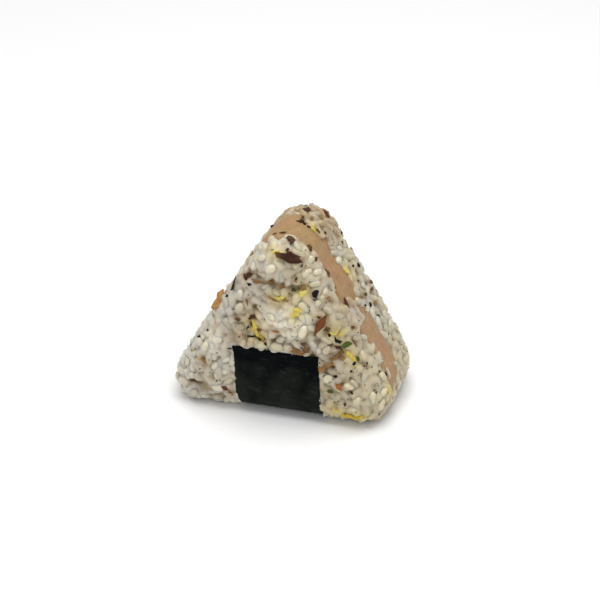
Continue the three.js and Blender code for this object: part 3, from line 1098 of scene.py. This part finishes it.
def nori_material():
    """Near black, greener in patches and lower down, with faint pale fibres lying across the strip."""
    material, tree, shader = node_material("nori")
    downwards = times(tree, along_axis(tree, "Z"), -18.0)
    greener = patches(tree, scale=130.0, detail=3.0, low=-0.02, high=0.72, shift=downwards)
    colour = blend(tree, greener, NORI_BLACK, NORI_GREEN)
    fibres = patches(
        tree, scale=420.0, detail=3.0, low=0.57, high=0.75, roughness=0.6, stretch=(0.6, 1.0, 1.3)
    )
    set_inputs(tree, shader, {
        "Base Color": blend(tree, times(tree, fibres, 0.28), colour, NORI_FIBRE),
        "Roughness": 0.7,
        "Specular IOR Level": 0.03,
    })
    shreds = patches(tree, scale=500.0, detail=4.0, roughness=0.65, stretch=(0.5, 1.0, 1.4))
    bumped(tree, shader, shreds, strength=0.5, distance=0.0004)
    return material


nori = new_object("nori_wrap", nori_mesh())
nori.data.materials.append(nori_material())
nori.data.shade_smooth()
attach(nori, "root")
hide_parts("nori_strip")


# Seasoning
# Dry furikake mixed through the rice: curled bonito shavings and stiff bonito chips, scraps of nori
# and green leaf, crumbs of yellow egg and fine dark specks, stuck wherever damp grains caught them.

surfaces["meat_slice"] = (BVHTree.FromObject(meat, bpy.context.evaluated_depsgraph_get()),) * 2

# A torn outline falls short of its length and width, so its pixels are taken a little larger
TORN_PIXEL = 1.2 * PIXEL_SIZE / MM

# A flake's inner ring and its crumpling, then the shapes of a crumb and of a few egg crumbs together
FLAKE_RING = 0.55
FLAKE_CRUMPLE = 0.06
CRUMB_ROWS = 4
CRUMB_COLUMNS = 6
CRUMB_BLUNTNESS = 0.6
CRUMB_REACH = (0.65, 1.15)
EGG_THICKNESS = 1.4
EGG_CRUMBS = (-0.3, 0.0, 0.3)
EGG_CRUMB_LENGTH = 0.6
EGG_CRUMB_WIDTH = (0.6, 1.1)
EGG_CRUMB_SHIFT = (-0.2, 0.2)
PALENESS_SPREAD = 0.1

# A scrap is kept clear of at its middle and at this share of the way to its ends
CLEAR_SHARE = 0.6

# Longer scraps stand further off the rice, in millimetres for each pixel of their length
LIFT_SHARE = 0.035

# A scrap seen edge-on stands out of the rice and turns partly towards the viewer
EDGE_ON = 0.4
STAND_OUT = 0.7

# Scraps that the photograph doesn't show: the box that the rays which place them aim into,
# what they keep clear of, and how squarely they may face the camera
AIM_LOW = (-40.0, -10.0, 6.0)
AIM_HIGH = (40.0, 10.0, 70.0)
RAY_LENGTH = 200.0
STRIP_CLEARANCE = 1.5
LOWEST_SCRAP = 3.0
MOST_FACING = -0.05

# Pieces that show: picture column, row, length and width in pixels, turn in degrees, paleness
BONITO_SEEN = [
    (290, 257, 26, 13, -12, 0.05), (306, 210, 8, 9, -50, 0.05), (327, 329, 6, 6, 20, 0.25),
    (353, 327, 5, 4, -30, 0.35), (354, 341, 7, 5, -40, 0.5), (298, 351, 15, 8, 5, 0.5),
    (306, 350, 11, 8, -30, 0.35), (303, 344, 7, 3, 10, 0.3), (334, 358, 9, 6, 30, 0.65),
    (340, 353, 11, 5, 50, 0.45), (343, 358, 7, 4, -30, 0.6), (321, 369, 9, 6, 10, 0.75),
    (329, 364, 10, 5, 30, 0.7), (303, 217, 6, 4, 70, 0.2), (283, 233, 7, 3, -10, 0.15),
    (287, 250, 5, 3, 40, 0.05), (316, 259, 5, 4, 30, 0.1), (275, 234, 5, 2, 0, 0.3),
    (246, 278, 7, 4, -60, 0.05), (247, 302, 3, 6, 10, 0.5), (249, 343, 6, 4, -30, 0.3),
    (300, 222, 7, 3, -20, 0.0), (310, 227, 8, 3, -25, 0.1), (220, 301, 19, 16, 60, 0.95),
    (250, 275, 10, 5, 10, 0.1), (258, 281, 14, 4, -15, 0.55), (270, 282, 11, 4, -20, 0.5),
    (282, 287, 7, 4, 0, 0.7), (273, 299, 11, 3, -20, 0.65), (285, 300, 7, 4, 0, 0.65),
    (238, 319, 7, 6, 60, 0.3), (252, 316, 9, 4, 40, 0.1), (259, 330, 5, 5, 0, 0.4),
    (275, 331, 9, 3, -20, 0.7), (204, 360, 11, 6, -30, 0.7), (372, 289, 5, 3, 60, 0.2),
    (327, 273, 9, 6, -40, 0.25), (309, 248, 10, 7, 50, 0.2), (318, 231, 6, 3, -20, 0.15),
    (322, 219, 5, 3, 40, 0.5), (291, 241, 9, 10, 30, 0.1), (371, 282, 6, 4, -60, 0.3),
    (374, 302, 7, 5, 0, 0.55), (339, 347, 9, 4, -30, 0.1), (304, 288, 6, 4, 0, 0.6),
    (251, 255, 6, 2, 60, 0.8), (328, 298, 6, 3, 10, 0.75),
]
CHIPS_SEEN = [
    (321, 324, 23, 8, 58, 0.4), (346, 305, 14, 4, -60, 0.15), (326, 214, 9, 4, -60, 0.2),
    (225, 388, 7, 5, -30, 0.25), (345, 404, 6, 3, 80, 0.2), (339, 387, 9, 5, -50, 0.9),
]
NORI_SEEN = [
    (315, 293, 9, 8, 60, 0.2), (336, 340, 9, 9, -60, 0.1), (227, 296, 6, 5, 0, 0.2),
    (235, 286, 17, 6, 65, 0.2), (249, 285, 5, 4, 0, 0.1), (302, 266, 5, 2, 80, 0.1),
    (341, 233, 5, 3, -70, 0.2), (342, 242, 4, 2, -70, 0.2), (353, 266, 6, 6, 0, 0.2),
    (358, 266, 7, 5, -70, 0.1), (365, 305, 4, 3, 0, 0.0), (370, 305, 5, 4, 60, 0.1),
    (378, 316, 5, 3, 60, 0.0), (325, 376, 5, 4, 50, 0.0), (336, 376, 5, 4, -40, 0.1),
    (329, 382, 4, 3, 0, 0.0), (352, 393, 6, 3, -35, 0.3), (354, 363, 4, 3, 50, 0.0),
    (367, 363, 5, 3, 80, 0.2), (351, 372, 3, 3, 0, 0.1), (379, 371, 4, 3, -40, 0.2),
    (386, 374, 5, 3, -50, 0.2), (199, 337, 3, 3, 0, 0.0), (208, 330, 4, 3, -20, 0.1),
    (250, 318, 4, 4, 0, 0.1), (248, 327, 5, 3, 50, 0.3), (250, 336, 9, 3, -10, 0.0),
    (260, 339, 4, 2, -20, 0.0), (265, 343, 5, 3, -30, 0.3), (230, 348, 7, 2, -5, 0.0),
    (330, 335, 4, 3, -40, 0.0), (273, 226, 6, 4, 40, 0.0), (305, 224, 5, 3, -30, 0.1),
]
LEAF_SEEN = [
    (318, 317, 8, 4, -30, 0.2), (347, 344, 10, 7, 10, 0.8), (358, 359, 7, 4, -35, 0.5),
    (330, 391, 7, 4, 10, 0.7), (314, 355, 5, 5, 20, 0.5), (296, 279, 4, 3, 60, 0.2),
    (302, 221, 6, 4, -30, 0.0), (325, 233, 4, 3, 0, 0.0), (358, 281, 4, 3, 50, 0.2),
    (365, 294, 5, 4, 0, 0.5), (230, 392, 4, 2, -20, 0.3), (294, 290, 5, 4, 0, 0.6),
]
EGG_SEEN = [
    (295, 313, 8, 8, 80, 0.6), (254, 324, 7, 6, -80, 0.6), (261, 337, 8, 6, -45, 0.5),
    (256, 331, 8, 5, -70, 0.5), (303, 293, 6, 5, 20, 0.9), (313, 229, 5, 4, 0, 0.6),
    (346, 271, 6, 5, 0, 0.8), (334, 333, 6, 4, 0, 0.6), (340, 335, 4, 3, 50, 0.6),
    (350, 354, 6, 6, 0, 0.6), (353, 358, 6, 4, -40, 0.4), (389, 390, 6, 4, 80, 0.5),
    (350, 416, 14, 6, -15, 0.0), (359, 417, 8, 4, -5, 0.3), (336, 411, 4, 3, 0, 0.8),
    (276, 252, 5, 4, 0, 0.5), (279, 298, 9, 3, 10, 0.8),
]


def seen_spot(column, row):
    """Where a pixel of the photograph meets the food, as place and normal, or None beside it."""
    ray = photo_ray(column, row)
    best = None
    for fine, plain in surfaces.values():
        place, _, _, distance = fine.ray_cast(camera.location, ray)
        if place is not None and (best is None or distance < best[1]):
            best = (place, distance, plain.find_nearest(place)[1])
    return None if best is None else (best[0], best[2])


def rice_spots(random, count):
    """Random places on the rice that face away from the camera, with their normals."""
    spots = []
    while len(spots) < count:
        direction = Vector(random.normal(0.0, 1.0, 3)).normalized()
        origin = Vector(random.uniform(AIM_LOW, AIM_HIGH)) * MM + direction * (RAY_LENGTH * MM)
        hits = []
        for node in ("rice_front", "rice_back", "meat_slice"):
            place, _, _, distance = surfaces[node][0].ray_cast(origin, -direction)
            if place is not None:
                hits.append((distance, node, place))
        if not hits or min(hits)[1] == "meat_slice":
            continue
        _, node, place = min(hits)
        normal = surfaces[node][1].find_nearest(place)[1]
        on_strip = under_nori(place.x / MM * -SIDE[node], place.z / MM, -STRIP_CLEARANCE) < 0.0
        if on_strip or place.z < LOWEST_SCRAP * MM or normal.dot(outward) > MOST_FACING:
            continue
        spots.append((place, normal))
    return spots


def flake(random, length, width, thickness, curl, corners, pointed, ragged):
    """A thin, closed scrap: an uneven outline round a curled middle, in its own axes."""
    angles = (np.arange(corners) + random.uniform(-0.5, 0.5, corners) * ragged) * 2 * math.pi / corners
    reach = random.uniform(1.0 - ragged, 1.0 + ragged * 0.3, corners)
    across = np.sin(angles) * np.abs(np.sin(angles)) ** pointed
    ring = np.stack([np.cos(angles) * reach * length / 2, across * reach * width / 2], 1)
    flat = np.concatenate([np.zeros((1, 2)), ring * FLAKE_RING, ring])
    crumple = random.normal(0.0, FLAKE_CRUMPLE, len(flat))
    height = curl * (flat[:, 0] / max(length, 0.1)) ** 2 * 4 + crumple
    top = np.column_stack([flat, height + thickness / 2])
    under = np.column_stack([flat, height - thickness / 2])
    faces = []
    below = len(flat)
    for i in range(corners):
        j = (i + 1) % corners
        inner = (1 + i, 1 + j)
        outer = (1 + corners + i, 1 + corners + j)
        faces.append((0, inner[0], inner[1]))
        faces.append((inner[0], outer[0], outer[1], inner[1]))
        faces.append((below, below + inner[1], below + inner[0]))
        faces.append((below + inner[1], below + outer[1], below + outer[0], below + inner[0]))
        faces.append((outer[0], below + outer[0], below + outer[1], outer[1]))
    return np.concatenate([top, under]), faces


def crumb(random, length, width, thickness):
    """A small uneven lump, in its own axes."""
    points = [(-1.0, 0.0, 0.0)]
    for row in range(1, CRUMB_ROWS):
        angle = math.pi * row / CRUMB_ROWS
        for column in range(CRUMB_COLUMNS):
            turn = 2 * math.pi * column / CRUMB_COLUMNS
            reach = random.uniform(*CRUMB_REACH)
            girth = math.sin(angle) ** CRUMB_BLUNTNESS * reach
            points.append((-math.cos(angle) * reach, girth * math.cos(turn), girth * math.sin(turn)))
    points.append((1.0, 0.0, 0.0))
    faces = capped_faces(CRUMB_ROWS - 1, CRUMB_COLUMNS)
    return np.array(points) * (length / 2, width / 2, thickness / 2), faces


class Bucket:
    """Points, faces and paleness of all pieces of one kind."""

    def __init__(self, random):
        self.random = random
        self.places = []
        self.points = []
        self.faces = []
        self.paleness = []
        self.start = 0

    def add(self, shape, place, axes, paleness):
        """One piece, turned to axes (its length, width and normal) and moved to a place."""
        points, faces = shape
        reach = axes[0] * (points[:, 0].max() * CLEAR_SHARE * MM)
        self.places += [place - reach, place, place + reach]
        self.points.append(points @ np.array([list(axis) for axis in axes]) + np.array(place) / MM)
        self.faces += [tuple(self.start + index for index in face) for face in faces]
        self.paleness += list(paleness + self.random.normal(0.0, PALENESS_SPREAD, len(points)))
        self.start += len(points)

    def piece(self, name, material, key="paleness"):
        """All of them as one piece, none of them below the table, with the paleness under a key."""
        points = np.concatenate(self.points)
        points[:, 2] = np.maximum(points[:, 2], 0.0)
        piece = new_object(name, new_mesh(name, points, self.faces))
        store(piece.data, key, self.paleness)
        piece.data.materials.append(material)
        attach(piece, "root")
        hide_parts("rice_front", "rice_back")
        return piece


def tangent_axes(normal, along):
    """Length, width and normal directions of a piece that lies on a surface."""
    length = (along - normal * along.dot(normal)).normalized()
    return length, normal.cross(length), normal


def picture_direction(turn):
    """The direction in the picture's plane that is turned by some degrees from its right."""
    angle = math.radians(turn)
    return rightward * math.cos(angle) + upward * math.sin(angle)


def seasoning(name, seen, unseen, seed, shape, lift, material):
    """One kind of seasoning as one piece: those the photograph shows, then a number it doesn't."""
    random = np.random.default_rng(seed)
    bucket = Bucket(random)
    for column, row, length, width, turn, paleness in seen:
        spot = seen_spot(column, row)
        if spot is None:
            continue
        place, normal = spot
        if normal.dot(outward) < EDGE_ON:
            normal = (normal + outward * STAND_OUT).normalized()
        axes = tangent_axes(normal, picture_direction(turn))
        scrap = shape(random, length * TORN_PIXEL, width * TORN_PIXEL)
        bucket.add(scrap, place + normal * (lift + LIFT_SHARE * length) * MM, axes, paleness)
    for place, normal in rice_spots(random, unseen):
        axes = tangent_axes(normal, Vector(random.normal(0.0, 1.0, 3)))
        _, _, length, width, _, paleness = seen[random.integers(len(seen))]
        scrap = shape(random, length * TORN_PIXEL, width * TORN_PIXEL)
        bucket.add(scrap, place + normal * lift * MM, axes, paleness)
    bucket.piece(name, material)
    return bucket.places


def seasoning_material(name, dark, pale, roughness, translucent):
    """One kind's colour, from dark to pale, with fine mottling."""
    material, tree, shader = node_material(name)
    colour = blend(tree, attribute_value(tree, "paleness"), dark, pale)
    mottled = patches(tree, scale=900.0, detail=2.0, low=0.3, high=0.75)
    set_inputs(tree, shader, {
        "Base Color": blend(tree, times(tree, mottled, 0.45), colour, dark),
        "Roughness": roughness,
        "Subsurface Weight": translucent,
        "Subsurface Radius": (1.0, 0.6, 0.3),
        "Subsurface Scale": 0.001,
        "Specular IOR Level": 0.12,
    })
    return material


def bonito_shape(random, length, width):
    """A shaving, pointed at its ends and curled along its length."""
    curl = random.uniform(-0.7, 0.2)
    return flake(random, length, width, thickness=0.3, curl=curl, corners=12, pointed=0.35, ragged=0.6)


def chip_shape(random, length, width):
    """A stiff splinter with straight edges and two sharp ends."""
    curl = random.uniform(-0.2, 0.1)
    return flake(random, length, width, thickness=0.35, curl=curl, corners=4, pointed=0.0, ragged=0.12)


def scrap_shape(random, length, width):
    """A flat torn scrap."""
    curl = random.uniform(-0.2, 0.1)
    corners = random.integers(5, 8)
    return flake(random, length, width, 0.3, curl, corners, pointed=0.0, ragged=0.75)


def egg_shape(random, length, width):
    """A few crumbs of egg stuck together."""
    shapes = []
    for share in EGG_CRUMBS:
        crumb_width = width * random.uniform(*EGG_CRUMB_WIDTH)
        points, faces = crumb(random, length * EGG_CRUMB_LENGTH, crumb_width, EGG_THICKNESS)
        sideways = width * random.uniform(*EGG_CRUMB_SHIFT)
        shift = (length * share, sideways, random.uniform(*EGG_CRUMB_SHIFT))
        shapes.append((points + shift, faces))
    return joined(shapes)


# Each paint: dark and pale colour, roughness and translucency
bonito_paint = seasoning_material("bonito", linear(54, 29, 18), linear(180, 140, 86), 0.45, 0.2)
chip_paint = seasoning_material("bonito_chip", linear(58, 26, 14), linear(170, 106, 58), 0.45, 0.1)
scrap_paint = seasoning_material("nori_scrap", linear(14, 13, 12), linear(52, 44, 36), 0.5, 0.0)
leaf_paint = seasoning_material("leaf", linear(34, 36, 16), linear(84, 104, 42), 0.5, 0.0)
egg_paint = seasoning_material("egg", linear(204, 172, 58), linear(220, 208, 118), 0.5, 0.4)

# Each kind: those that show, how many more, the seed of its draws, its shape, lift and paint
bonito_places = seasoning("bonito_flakes", BONITO_SEEN, 46, 31, bonito_shape, 0.1, bonito_paint)
chip_places = seasoning("bonito_chips", CHIPS_SEEN, 10, 36, chip_shape, 0.1, chip_paint)
scrap_places = seasoning("nori_scraps", NORI_SEEN, 60, 32, scrap_shape, 0.1, scrap_paint)
leaf_places = seasoning("leaf_scraps", LEAF_SEEN, 24, 33, scrap_shape, 0.1, leaf_paint)
egg_places = seasoning("egg_crumbs", EGG_SEEN, 22, 34, egg_shape, -0.15, egg_paint)

# Rice is stained brown near bonito and leaf and at the back's apex, and yellow near egg
STAIN_REACH = 3.2
YELLOW_REACH = 4.5
YELLOW_AT_EGG = 1.2
APEX_STAIN_START = 66.0
APEX_STAIN_RISE = 16.0
APEX_STAIN_MOST = 0.8

# Stained patches of the front face: picture column and row, radius, share
STAIN_SPOTS = [
    (240, 336, 6.0, 0.7), (252, 312, 5.0, 0.5), (303, 287, 6.0, 0.2),
    (332, 357, 6.0, 0.7), (350, 380, 5.0, 0.4), (340, 322, 8.0, 0.4), (258, 281, 5.0, 0.6),
]


def distance_to(points, places):
    """Distance of each point from the nearest of some places, in millimetres."""
    return nearest(points, places)[1] / MM


def stain_rice(rice):
    """Keep how brown and how yellow each vertex of a rice piece is."""
    points = vertex_array(rice.data.vertices, "co", 3)
    near_flakes = np.clip(1.0 - distance_to(points, bonito_places + leaf_places) / STAIN_REACH, 0.0, 1.0)
    yellowed = np.clip(YELLOW_AT_EGG - distance_to(points, egg_places) / YELLOW_REACH, 0.0, 1.0)
    x, y, z = points.T / MM
    if y.mean() < MIDDLE:
        spots = spotted(STAIN_SPOTS, unskewed(x, y), z)
    else:
        spots = np.clip((z - APEX_STAIN_START) / APEX_STAIN_RISE, 0.0, APEX_STAIN_MOST)
    store(rice.data, "yellowed", yellowed)
    store(rice.data, "stain", np.maximum(near_flakes, spots))


for rice in rice_pieces:
    stain_rice(rice)

SPECKS_PER_HALF = 260
SPECK_LENGTH = (0.5, 1.7)
SPECK_WIDTH = (0.4, 0.9)
SPECK_THICKNESS = 0.4
SPECK_REACH = (0.7, 1.2)
SPECKS_ON_GRAINS = 0.2
SPECKS_ON_LEFT = 0.15
SPECKS_SPAN = 60.0

# Specks that show: picture columns and rows
SPECKS_SEEN = [
    (290, 244), (295, 275), (297, 278), (296, 282), (301, 282), (299, 288), (306, 288),
    (308, 286), (311, 288), (242, 270), (247, 277), (248, 295), (260, 306), (262, 301),
    (310, 307), (317, 307), (345, 363), (355, 368), (364, 366), (367, 369), (372, 367),
    (374, 373), (389, 376), (366, 375), (365, 385), (363, 378), (381, 384), (375, 390),
    (348, 399), (352, 384), (357, 386), (337, 408), (379, 409), (373, 410), (367, 391),
    (396, 368), (400, 366), (191, 344), (197, 357), (209, 360), (212, 361), (217, 353),
    (224, 362), (215, 342), (200, 369), (195, 373), (217, 381), (202, 333), (239, 337),
]


def speck(random, length, width, thickness):
    """An uneven fleck with eight faces, in its own axes."""
    points = np.array([(1, 0, 0), (-1, 0, 0), (0, 1, 0), (0, -1, 0), (0, 0, 1), (0, 0, -1)], dtype=float)
    points *= random.uniform(*SPECK_REACH, (6, 1))
    faces = []
    for x in (0, 1):
        for y in (2, 3):
            for z in (4, 5):
                flip = (x + y + z) % 2
                faces.append((x, z, y) if flip else (x, y, z))
    return points * (length / 2, width / 2, thickness / 2), faces


def speck_chance(rice):
    """Chance of a speck at each vertex of the rice: more in hollows and towards the right."""
    x = vertex_array(rice.data.vertices, "co", 3)[:, 0] / MM
    hollow = vertex_array(rice.data.attributes["hollow"].data, "value", 1)[:, 0]
    rightwards = np.clip(x / SPECKS_SPAN + 0.5, 0.0, 1.0)
    chance = (SPECKS_ON_GRAINS + hollow) * (SPECKS_ON_LEFT + rightwards)
    return chance / chance.sum()


def specks(name, seed, material):
    """Fine dark flecks as one piece: those the photograph shows, then random ones."""
    random = np.random.default_rng(seed)
    spots = [seen_spot(column, row) for column, row in SPECKS_SEEN]
    for rice in rice_pieces:
        places = vertex_array(rice.data.vertices, "co", 3)
        normals = vertex_array(rice.data.vertex_normals, "vector", 3)
        chosen = random.choice(len(places), SPECKS_PER_HALF, replace=False, p=speck_chance(rice))
        spots += [(Vector(places[index]), Vector(normals[index])) for index in chosen]
    bucket = Bucket(random)
    for place, normal in spots:
        length = random.uniform(*SPECK_LENGTH)
        width = random.uniform(*SPECK_WIDTH)
        axes = tangent_axes(normal, Vector(random.normal(0.0, 1.0, 3)))
        bucket.add(speck(random, length, width, SPECK_THICKNESS), place, axes, random.random() ** 2)
    bucket.piece(name, material)


speck_paint = seasoning_material("speck", linear(18, 14, 10), linear(120, 82, 46), 0.6, 0.0)
specks("specks", 35, speck_paint)


# Whole grains
# Grains on the outside that kept their shape: plump, whole and only half sunk into the sticky mass.
# Those that the photograph shows clearly come first; the rest lie clear of them, the flakes and the nori.

WHOLE_SPACING = 4.9
WHOLE_TILT = 0.3
WHOLE_SIZES = (0.82, 1.02)
WHOLE_SINK = 0.6
SEEN_SINK = 0.4
FLAKE_CLEARANCE = 2.2
NORI_CLEARANCE = 2.8
ROW_OVER_NORI = 0.7
WHITE_GRAIN = 0.35
WHITE_SHARE = 0.06

# Plump grains that show by themselves: picture column, row, length and width in pixels, turn, milkiness
GRAINS_SEEN = [
    (243, 343, 8, 7, 60, 0.1), (251, 342, 11, 9, 70, 0.2), (262, 345, 11, 8, -10, 0.1),
    (277, 347, 13, 8, -10, 0.2), (288, 348, 10, 7, 0, 0.1), (282, 339, 13, 9, 40, 0.3),
    (292, 337, 12, 8, 60, 0.4), (303, 332, 16, 9, 80, 0.8), (326, 340, 13, 7, -35, 0.0),
    (319, 351, 8, 6, 80, 0.3), (327, 350, 10, 8, 50, 0.2), (193, 366, 13, 8, 80, 0.2),
    (187, 374, 12, 6, 85, 0.3), (254, 266, 10, 8, 20, 0.7), (271, 269, 11, 9, 30, 0.5),
    (296, 265, 9, 9, 20, 0.0), (325, 291, 11, 7, 70, 0.5), (349, 387, 10, 6, -25, 0.5),
    (357, 401, 9, 8, 60, 0.25), (328, 379, 10, 9, 10, 0.4), (240, 307, 10, 9, 30, 0.1),
    (205, 346, 10, 7, 40, 0.3), (217, 340, 11, 8, 10, 0.4),
]

grain_points, grain_faces = mesh_arrays(grain.data)
shown = Bucket(np.random.default_rng(53))
for column, row, length, width, turn, milkiness in GRAINS_SEEN:
    place, normal = seen_spot(column, row)
    axes = tangent_axes(normal, picture_direction(turn))
    half_size = np.array((length / 2, width / 2, width / 2)) * PIXEL_SIZE / MM
    shape = (grain_points / GRAIN_HALF_SIZE * half_size, grain_faces)
    shown.add(shape, place - normal * SEEN_SINK * MM, axes, milkiness)
shown_grains = shown.piece("shown_grains", rice_paint, "milky")
shown_grains.data.shade_smooth()
stain_rice(shown_grains)

kept_clear = bonito_places + chip_places + scrap_places + leaf_places + egg_places + shown.places
for node, seed in (("rice_front", 51), ("rice_back", 52)):
    carrier = carriers[node]
    points = vertex_array(carrier.data.vertices, "co", 3)
    room = vertex_array(carrier.data.attributes["room"].data, "value", 1)[:, 0]
    room *= np.clip(distance_to(points, kept_clear) - FLAKE_CLEARANCE, 0.0, 1.0)
    x, y, z = points.T / MM
    face_x = unskewed(x, y) * -SIDE[node]
    room *= under_nori(face_x, z + ROW_OVER_NORI, -NORI_CLEARANCE) > 0.0
    if node == "rice_front":
        room *= 1.0 - spotted(MUSHY_SPOTS, face_x, z)
    carrier.data.attributes["room"].data.foreach_set("value", room)
    mesh = grain_layer(carrier, WHOLE_SPACING, WHOLE_TILT, WHOLE_SIZES, WHOLE_SINK, seed)
    grains = new_object(node + "_grains", mesh)
    mesh.shade_smooth()
    points = vertex_array(mesh.vertices, "co", 3)
    points[:, 2] = np.maximum(points[:, 2], FLOOR_CONTACT * MM)
    mesh.vertices.foreach_set("co", points.ravel())
    tint = nearest_tints(points, mesh, seed)
    milky = WHITE_GRAIN * (tint < WHITE_SHARE)
    if node == "rice_front":
        x, y, z = points.T / MM
        milky = np.maximum(milky, spotted(MILKY_SPOTS, unskewed(x, y), z))
    store(mesh, "tint", tint)
    store(mesh, "milky", milky)
    stain_rice(grains)
    bpy.data.objects.remove(carrier)
    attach(grains, "root")
    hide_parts(node)
bpy.data.objects.remove(grain)


# Floor and light
# A plain pale table under a large soft light overhead, with a weaker one in front.

FLOOR_SIZE = 6000.0
FLOOR_COLOUR = (0.9, 0.9, 0.9, 1.0)
SKY_COLOUR = (1.0, 1.0, 1.0, 1.0)
SKY_STRENGTH = 0.55

# Lamps are given in metres
LAMP_SIZE = 0.8

half = FLOOR_SIZE / 2
floor_corners = [(-half, -half, 0.0), (half, -half, 0.0), (half, half, 0.0), (-half, half, 0.0)]
floor = new_object("floor", new_mesh("floor", floor_corners, [(0, 1, 2, 3)]))
floor_paint, floor_tree, floor_shader = node_material("floor")
set_inputs(floor_tree, floor_shader, {
    "Base Color": FLOOR_COLOUR,
    "Roughness": 0.9,
    "Specular IOR Level": 0.1,
})
floor.data.materials.append(floor_paint)

world = bpy.data.worlds.new("world")
bpy.context.scene.world = world
world.use_nodes = True
background = world.node_tree.nodes["Background"]
set_inputs(world.node_tree, background, {"Color": SKY_COLOUR, "Strength": SKY_STRENGTH})


def area_light(name, place, power):
    """A soft square light that faces the rice ball."""
    data = bpy.data.lights.new(name, "AREA")
    data.energy = power
    data.size = LAMP_SIZE
    lamp = bpy.data.objects.new(name, data)
    lamp.location = place
    lamp.rotation_euler = (LOOK_POINT - Vector(place)).to_track_quat("-Z", "Y").to_euler()
    bpy.context.collection.objects.link(lamp)


area_light("overhead", (0.05, 0.0, 1.1), 9.0)
area_light("front", (-0.1, -1.1, 0.75), 1.8)
bpy.context.scene.view_settings.view_transform = "Standard"
